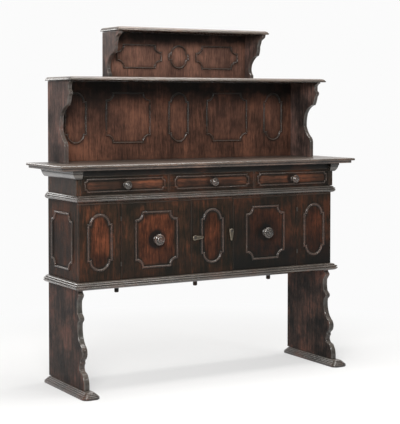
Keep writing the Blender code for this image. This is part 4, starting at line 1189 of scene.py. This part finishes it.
# Chains of (share of the projection, share of the height, wear with a painted sheen on the rounds, dirt) from
# the bottom up
REED_CHAINS = (
    ((0.06, 0.0, 0.0, 0.8), (0.42, 0.045, 0.0, 0.5), (0.72, 0.14, 0.1, 0.2), (0.905, 0.25, 0.5, 0.0),
     (0.985, 0.335, 0.9, 0.0), (0.99, 0.41, 1.0, 0.0), (0.93, 0.465, 0.4, 0.3), (0.77, 0.485, 0.0, 1.0)),
    ((0.77, 0.525, 0.0, 1.0), (0.92, 0.56, 0.4, 0.2), (0.96, 0.62, 1.0, 0.0), (0.925, 0.685, 1.0, 0.0),
     (0.80, 0.735, 0.4, 0.3), (0.56, 0.755, 0.0, 1.0)),
    ((0.56, 0.795, 0.0, 1.0), (0.60, 0.85, 0.8, 0.0), (0.46, 0.925, 1.0, 0.0), (0.28, 0.972, 0.6, 0.2),
     (0.12, 1.0, 0.0, 0.9)),
)


def section_of(chains, out, low, height, steps=3):
    points = []
    for chain in chains:
        points += [(p[0] * out, low + p[1] * height, p[2], p[3]) for p in smoothed(chain, steps)]
    return points


def strip_loops(start, end, points, steps=14):
    """Loops from one end of a strip to the other; start and end map (out, z) to the part."""
    loops = []
    for i in range(steps + 1):
        t = i / steps
        loops.append([Vector(start(d, z)).lerp(Vector(end(d, z)), t) for d, z, *_ in points])
    return loops


def finish_strip(node, loops, section):
    bm = skin(loops, [[row[2:] for row in section]] * len(loops))
    return finish_piece(f"{node}_run", bm, MOULDED, "carcass", (node,))


for stem in ("base_moulding", "waist_moulding"):
    low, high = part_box(f"{stem}_front")
    section = section_of(REED_CHAINS, FRONT - low.y, low.z, high.z - low.z)
    section += [(SEAT, high.z, 0.0, 0.8), (SEAT, low.z, 0.0, 0.8)]
    loops = strip_loops(lambda d, z: (-(CASE_HALF + d - SEAT), FRONT - d, z),
                        lambda d, z: (CASE_HALF + d - SEAT, FRONT - d, z), section)
    finish_strip(f"{stem}_front", loops, section)
    for sign, side in SIGNED_SIDES:
        loops = strip_loops(lambda d, z: (sign * (CASE_HALF + d), FRONT - d + SEAT, z),
                            lambda d, z: (sign * (CASE_HALF + d), BACK, z), section)
        finish_strip(f"{stem}_{side}", loops, section)
print("strips:", [p.name for p in made_pieces[-6:]])

# %% Mouldings under the ends of the table top
# The same four values as for the reeds, from the bottom up
COVE_CHAINS = (
    ((0.04, 0.0, 0.0, 0.7), (0.30, 0.02, 0.0, 0.5), (0.46, 0.042, 0.1, 0.3), (0.60, 0.145, 0.5, 0.0),
     (0.74, 0.305, 0.9, 0.0), (0.845, 0.47, 0.9, 0.0), (0.90, 0.60, 0.5, 0.2), (0.895, 0.675, 0.0, 1.0)),
    ((0.92, 0.70, 0.0, 0.8), (0.98, 0.716, 0.8, 0.0), (1.0, 0.74, 1.0, 0.0), (1.0, 0.97, 0.6, 0.1),
     (0.995, 1.0, 0.2, 0.4)),
)
frieze_inner = -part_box("left_frieze_side")[1].x
outside = CASE_HALF + SEAT
face = FRONT - SEAT
for sign, side in SIGNED_SIDES:
    low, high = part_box(f"{side}_cove")
    out = (high.x if sign > 0 else -low.x) - outside
    drop = face - low.y

    def corner(d, z):
        return sign * (outside + out * d), face - drop * d, z

    section = section_of(COVE_CHAINS, 1.0, low.z, high.z - low.z)
    section = [(min(d, 1.0), *rest) for d, *rest in section]
    section += [(0.0, high.z, 0.0, 0.6), (0.0, low.z, 0.0, 0.6)]
    loops = strip_loops(lambda d, z: (sign * (outside + out * d), BACK, z), corner, section, 10)
    loops += strip_loops(corner, lambda d, z: (sign * frieze_inner, face - drop * d, z), section, 3)[1:]
    finish_strip(f"{side}_cove", loops, section)
print("end mouldings reach out", round(out, 4))

# %% [markdown]
# ## Sled feet
# Each foot is a flat runner with round corners. Its rim stands upright, and two reeds and a narrow
# step climb from it to the leg, worked with the same planes as the base. Loops of a rectangle with
# round corners follow that profile upward.

# %% Feet
FOOT_CORNER = 0.026          # radius of the round corners at the rim
FOOT_SLOPE = 0.022           # how far the profile is drawn in up to the leg
FOOT_UNDERSIDE = 0.026       # how far the last loop of the underside is drawn in


def unit(value):
    return min(max(value, 0.0), 1.0)


def foot_loop(low, high, inset, z):
    corner = FOOT_CORNER - 0.8 * inset
    points = []
    for k, (sx, sy) in enumerate(((1, 1), (-1, 1), (-1, -1), (1, -1))):
        cx = (high.x if sx > 0 else low.x) - sx * (inset + corner)
        cy = (high.y if sy > 0 else low.y) - sy * (inset + corner)
        for i in range(9):
            angle = math.radians(90 * k + 90 * i / 8)
            points.append((cx + corner * math.cos(angle), cy + corner * math.sin(angle), z))
    return points


# Chains of (share of the slope drawn in, share of the height, wear with a painted sheen on the rounds, dirt)
# from the floor up
FOOT_CHAINS = (
    ((0.12, 0.0, 0.0, 0.9), (0.03, 0.05, 0.2, 0.7), (0.0, 0.13, 0.3, 0.5), (0.0, 0.31, 0.6, 0.2),
     (0.035, 0.405, 1.0, 0.0), (0.10, 0.44, 0.6, 0.2), (0.20, 0.37, 0.0, 1.0)),
    ((0.23, 0.38, 0.0, 1.0), (0.24, 0.50, 0.6, 0.2), (0.30, 0.60, 1.0, 0.0), (0.39, 0.64, 0.7, 0.2),
     (0.49, 0.57, 0.0, 1.0)),
    ((0.52, 0.58, 0.0, 1.0), (0.535, 0.70, 0.6, 0.2), (0.60, 0.80, 1.0, 0.0), (0.70, 0.84, 0.7, 0.2),
     (0.80, 0.77, 0.0, 1.0)),
    ((0.83, 0.78, 0.0, 1.0), (0.85, 0.91, 0.6, 0.1), (0.92, 0.985, 1.0, 0.0), (1.0, 1.0, 0.5, 0.2),
     (1.35, 1.0, 0.0, 0.5)),
)
for side in SIDES:
    low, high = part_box(f"{side}_foot")
    line = [(FOOT_UNDERSIDE, 0.0, 0.0, 0.9)]
    for inset, up, *marks in section_of(FOOT_CHAINS, FOOT_SLOPE, 0.0, 1.0):
        line.append((max(inset, 0.0), unit(up), *marks))
    loops = [foot_loop(low, high, inset, low.z + up * (high.z - low.z)) for inset, up, *_ in line]
    finish_piece(f"{side}_foot_runner", skin_levels(loops, line), RUNNER, "carcass",
                 (f"{side}_foot",))
print("feet:", [p.name for p in made_pieces[-2:]])

# %% [markdown]
# ## Turned knobs and pivots
# A turner shapes a knob from the side, as a line of rises and hollows, while the wood spins. The same
# line is drawn here as a few points, smoothed, and swept round. The rings on the face are true
# grooves, so that they catch the light from every side.

# %% Turned pieces
def turned(profile, place, segments=56):
    """Sweep (radius, height, wear, dirt) rows round an axis; the first and last rows close to a point."""
    bm = bmesh.new()
    wear, dirt, _ = masks(bm)
    rows = []
    for k, (radius, height, rub_and_sheen, darkening) in enumerate(profile):
        if k in (0, len(profile) - 1):
            row = [bm.verts.new(place(0, 0, height))]
        else:
            row = []
            for i in range(segments):
                angle = math.tau * i / segments
                row.append(bm.verts.new(place(radius * math.cos(angle), radius * math.sin(angle), height)))
        for vert in row:
            vert[wear], vert[dirt] = unit(rub_and_sheen), unit(darkening)
        rows.append(row)
    for low, high in zip(rows, rows[1:]):
        for i in range(segments):
            j = (i + 1) % segments
            ring = [low[i % len(low)], low[j % len(low)], high[j % len(high)], high[i % len(high)]]
            bm.faces.new(list(dict.fromkeys(ring)))
    return bm


# (share of the radius, share of the reach, wear, dirt)
KNOB_LINE = (
    (0.60, 0.008, 0.0, 1.0), (0.64, 0.03, 0.3, 0.8), (0.62, 0.075, 0.6, 0.3), (0.50, 0.13, 0.0, 0.8),
    (0.43, 0.21, 0.1, 0.5), (0.42, 0.31, 0.2, 0.3), (0.47, 0.42, 0.1, 0.4), (0.66, 0.505, 0.1, 0.3),
    (0.87, 0.57, 0.4, 0.1), (0.975, 0.645, 0.9, 0.0), (0.995, 0.715, 1.0, 0.0), (0.955, 0.80, 0.9, 0.0),
    (0.84, 0.87, 0.7, 0.0), (0.72, 0.905, 0.7, 0.1), (0.65, 0.905, 0.0, 0.9), (0.60, 0.885, 0.0, 1.0),
    (0.54, 0.905, 0.4, 0.3), (0.44, 0.945, 0.9, 0.0), (0.33, 0.960, 0.5, 0.1), (0.27, 0.950, 0.0, 0.8),
    (0.20, 0.965, 0.5, 0.1), (0.10, 0.995, 1.0, 0.0),
)


def knob(node, body, x, z, radius):
    low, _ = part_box(node)
    reach = FRONT - low.y
    line = smoothed([(r * radius, h * reach, w, d) for r, h, w, d in KNOB_LINE])
    line = [(0, SEAT, 0, 1)] + line + [(0, reach, 1, 0)]
    bm = turned(line, on_front(x, FRONT, z))
    return finish_piece(f"{node}_turned", bm, TURNED, body, (node,), 60.0)


for side in SIDES:
    knob(f"{side}_door_knob", f"{side}_door_body", door_x[side], z_mid, DOOR_KNOB)
for word, x in drawer_x.items():
    knob(f"{word}_drawer_knob", f"{word}_drawer", x, drawer_z, DRAWER_KNOB)
print("knobs:", [p.name for p in made_pieces[-5:]])

# %% [markdown]
# ## Dowels under the case
# Three round pegs come out below the bottom board. They are one turned shape, repeated, so Geometry
# Nodes set it on three points, and what the modifier makes becomes a plain mesh at the end.

# %% Dowels on points
DOWEL_SPACING = 0.395
DOWEL_SETBACK = 0.151        # from the front of the case
SMALL_SEGMENTS = 28          # points round a small turned piece
# (radius, share of the length, wear, dirt)
PEG_LINE = (
    (0.0101, 0.06, 0.0, 0.9), (0.0100, -0.3, 0.0, 0.5), (0.0098, -0.8, 0.2, 0.2),
    (0.0096, -0.93, 0.7, 0.0), (0.0083, -0.975, 1.0, 0.0), (0.0062, -0.994, 0.6, 0.2),
)


def on_points_tree():
    inputs = {"Peg": "Object", "Peg length": "Float", "Finish": "Material"}
    made, keys, given = new_shape_tree("peg_on_points", "Places", inputs, "Pegs")
    shape = add_node(made, "GeometryNodeObjectInfo", {"Object": given["Peg"]}).outputs["Geometry"]
    size = output(made, "ShaderNodeCombineXYZ", {"X": 1.0, "Y": 1.0, "Z": given["Peg length"]})
    values = {"Points": given["Places"], "Instance": shape, "Scale": size}
    shape = output(made, "GeometryNodeInstanceOnPoints", values)
    shape = output(made, "GeometryNodeRealizeInstances", {"Geometry": shape})
    shape = output(made, "GeometryNodeSetMaterial", {"Geometry": shape, "Material": given["Finish"]})
    made.links.new(shape, add_node(made, "NodeGroupOutput").inputs["Pegs"])
    return made, keys


low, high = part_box("bottom_board")
under = high.z - BOARD
peg_line = [(0, 0.06, 0, 1)] + smoothed(PEG_LINE, 3) + [(0, -0.999, 0, 0.3)]
bm = turned(peg_line, lambda u, v, h: (u, v, h), SMALL_SEGMENTS)
bmesh.ops.recalc_face_normals(bm, faces=bm.faces)
peg_mesh = bpy.data.meshes.new("peg")
bm.to_mesh(peg_mesh)
bm.free()
peg = bpy.data.objects.new("peg", peg_mesh)
bpy.context.scene.collection.objects.link(peg)
spots = bpy.data.meshes.new("dowels")
places = [(k * DOWEL_SPACING, FRONT + DOWEL_SETBACK, under) for k in (-1, 0, 1)]
spots.from_pydata(places, [], [])
dowels = bpy.data.objects.new("dowels", spots)
bpy.context.scene.collection.objects.link(dowels)
grow = dowels.modifiers.new("pegs", "NODES")
grow.node_group, keys = on_points_tree()
for key, value in zip(keys, (peg, under - low.z, WALNUT_Z)):
    grow[key] = value
as_plain_mesh(dowels)
bpy.data.objects.remove(peg)
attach(dowels, "carcass")
made_pieces.append(dowels)
print("dowels:", len(dowels.data.polygons), "faces, length", round(under - low.z, 4))

# %% [markdown]
# ## Hinges, buttons and their pivots
# The hinge halves stay as their solids, because the pin and the sleeve have to fit; they only take
# the iron finish. A turn button is a cast plate: a round head with a tapering arm, crowned on top.
# The left one lies free of its door and the right one hangs down, so both doors can open.

# %% Small metal parts
for name, solid in solids.items():
    if "hinge" in name:
        solid.data.materials.clear()
        solid.data.materials.append(IRON)


def button_outline(head=0.011, tip=0.0045, arm=0.038):
    lean = math.acos((head - tip) / arm)
    around = [lean + (math.tau - 2 * lean) * i / 28 for i in range(29)]
    points = [(head * math.cos(a), head * math.sin(a)) for a in around]
    around = [-lean + 2 * lean * i / 12 for i in range(13)]
    return points + [(arm + tip * math.cos(a), tip * math.sin(a)) for a in around]


for side, heading in (("left", 0.0), ("right", -math.pi / 2)):
    low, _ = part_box(f"{side}_button_pivot")
    x, z = middle(f"{side}_button_pivot", ACROSS), middle(f"{side}_button_pivot", UP)
    plate_low, plate_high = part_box(f"{side}_turn_button")
    crown, back = plate_low.y, plate_high.y
    spin = Matrix.Rotation(heading, 2)
    outline = [tuple(spin @ Vector(p)) for p in button_outline()]
    # (place from back to crown, inset, wear, dirt)
    layers = [(back, 0.0035, 0.0, 0.6), (back, 0.0008, 0.2, 0.5), (back - 0.0006, 0.0, 0.8, 0.1),
              (crown + 0.0022, 0.0, 0.9, 0.0), (crown + 0.0010, 0.0006, 1.0, 0.0),
              (crown + 0.0003, 0.0017, 0.7, 0.0), (crown, 0.0036, 0.2, 0.4)]
    loops = [[(x + u, y, z + v) for u, v in drawn_in(outline, inset)] for y, inset, *_ in layers]
    finish_piece(f"{side}_turn_button_plate", skin_levels(loops, layers), BRASS, f"{side}_button",
                 (f"{side}_turn_button",))
    reach = FRONT - low.y
    # (radius, distance from the front, wear, dirt)
    line = [(0, 0.0004, 0, 1), (0.006, 0.0004, 0, 1), (0.006, 0.0078, 0.3, 0.6), (0.003, 0.008, 0, 0.8),
            (0.003, reach - 0.0031, 0, 0.8), (0.0058, reach - 0.0030, 0.5, 0.3),
            (0.0061, reach - 0.0024, 1, 0), (0.0054, reach - 0.0012, 0.8, 0),
            (0.0034, reach - 0.0003, 0.5, 0.1), (0, reach, 0.4, 0.2)]
    bm = turned(line, on_front(x, FRONT, z), SMALL_SEGMENTS)
    finish_piece(f"{side}_button_pivot_pin", bm, IRON, "carcass", (f"{side}_button_pivot",), 35.0)
print("small parts:", [p.name for p in made_pieces[-4:]])

# %% [markdown]
# ## Last count of the triangles
# The dressed object has to fill the same box as its solids. The number of triangles shows whether a
# piece grew too heavy.

# %% Triangles and end
bpy.context.scene.view_settings.view_transform = "Standard"
triangles = sum(len(p.data.loops) - 2 * len(p.data.polygons) for p in made_pieces)
heaviest = max(made_pieces, key=lambda p: len(p.data.polygons))
print("pieces:", len(made_pieces), "triangles:", triangles, "heaviest:", heaviest.name)
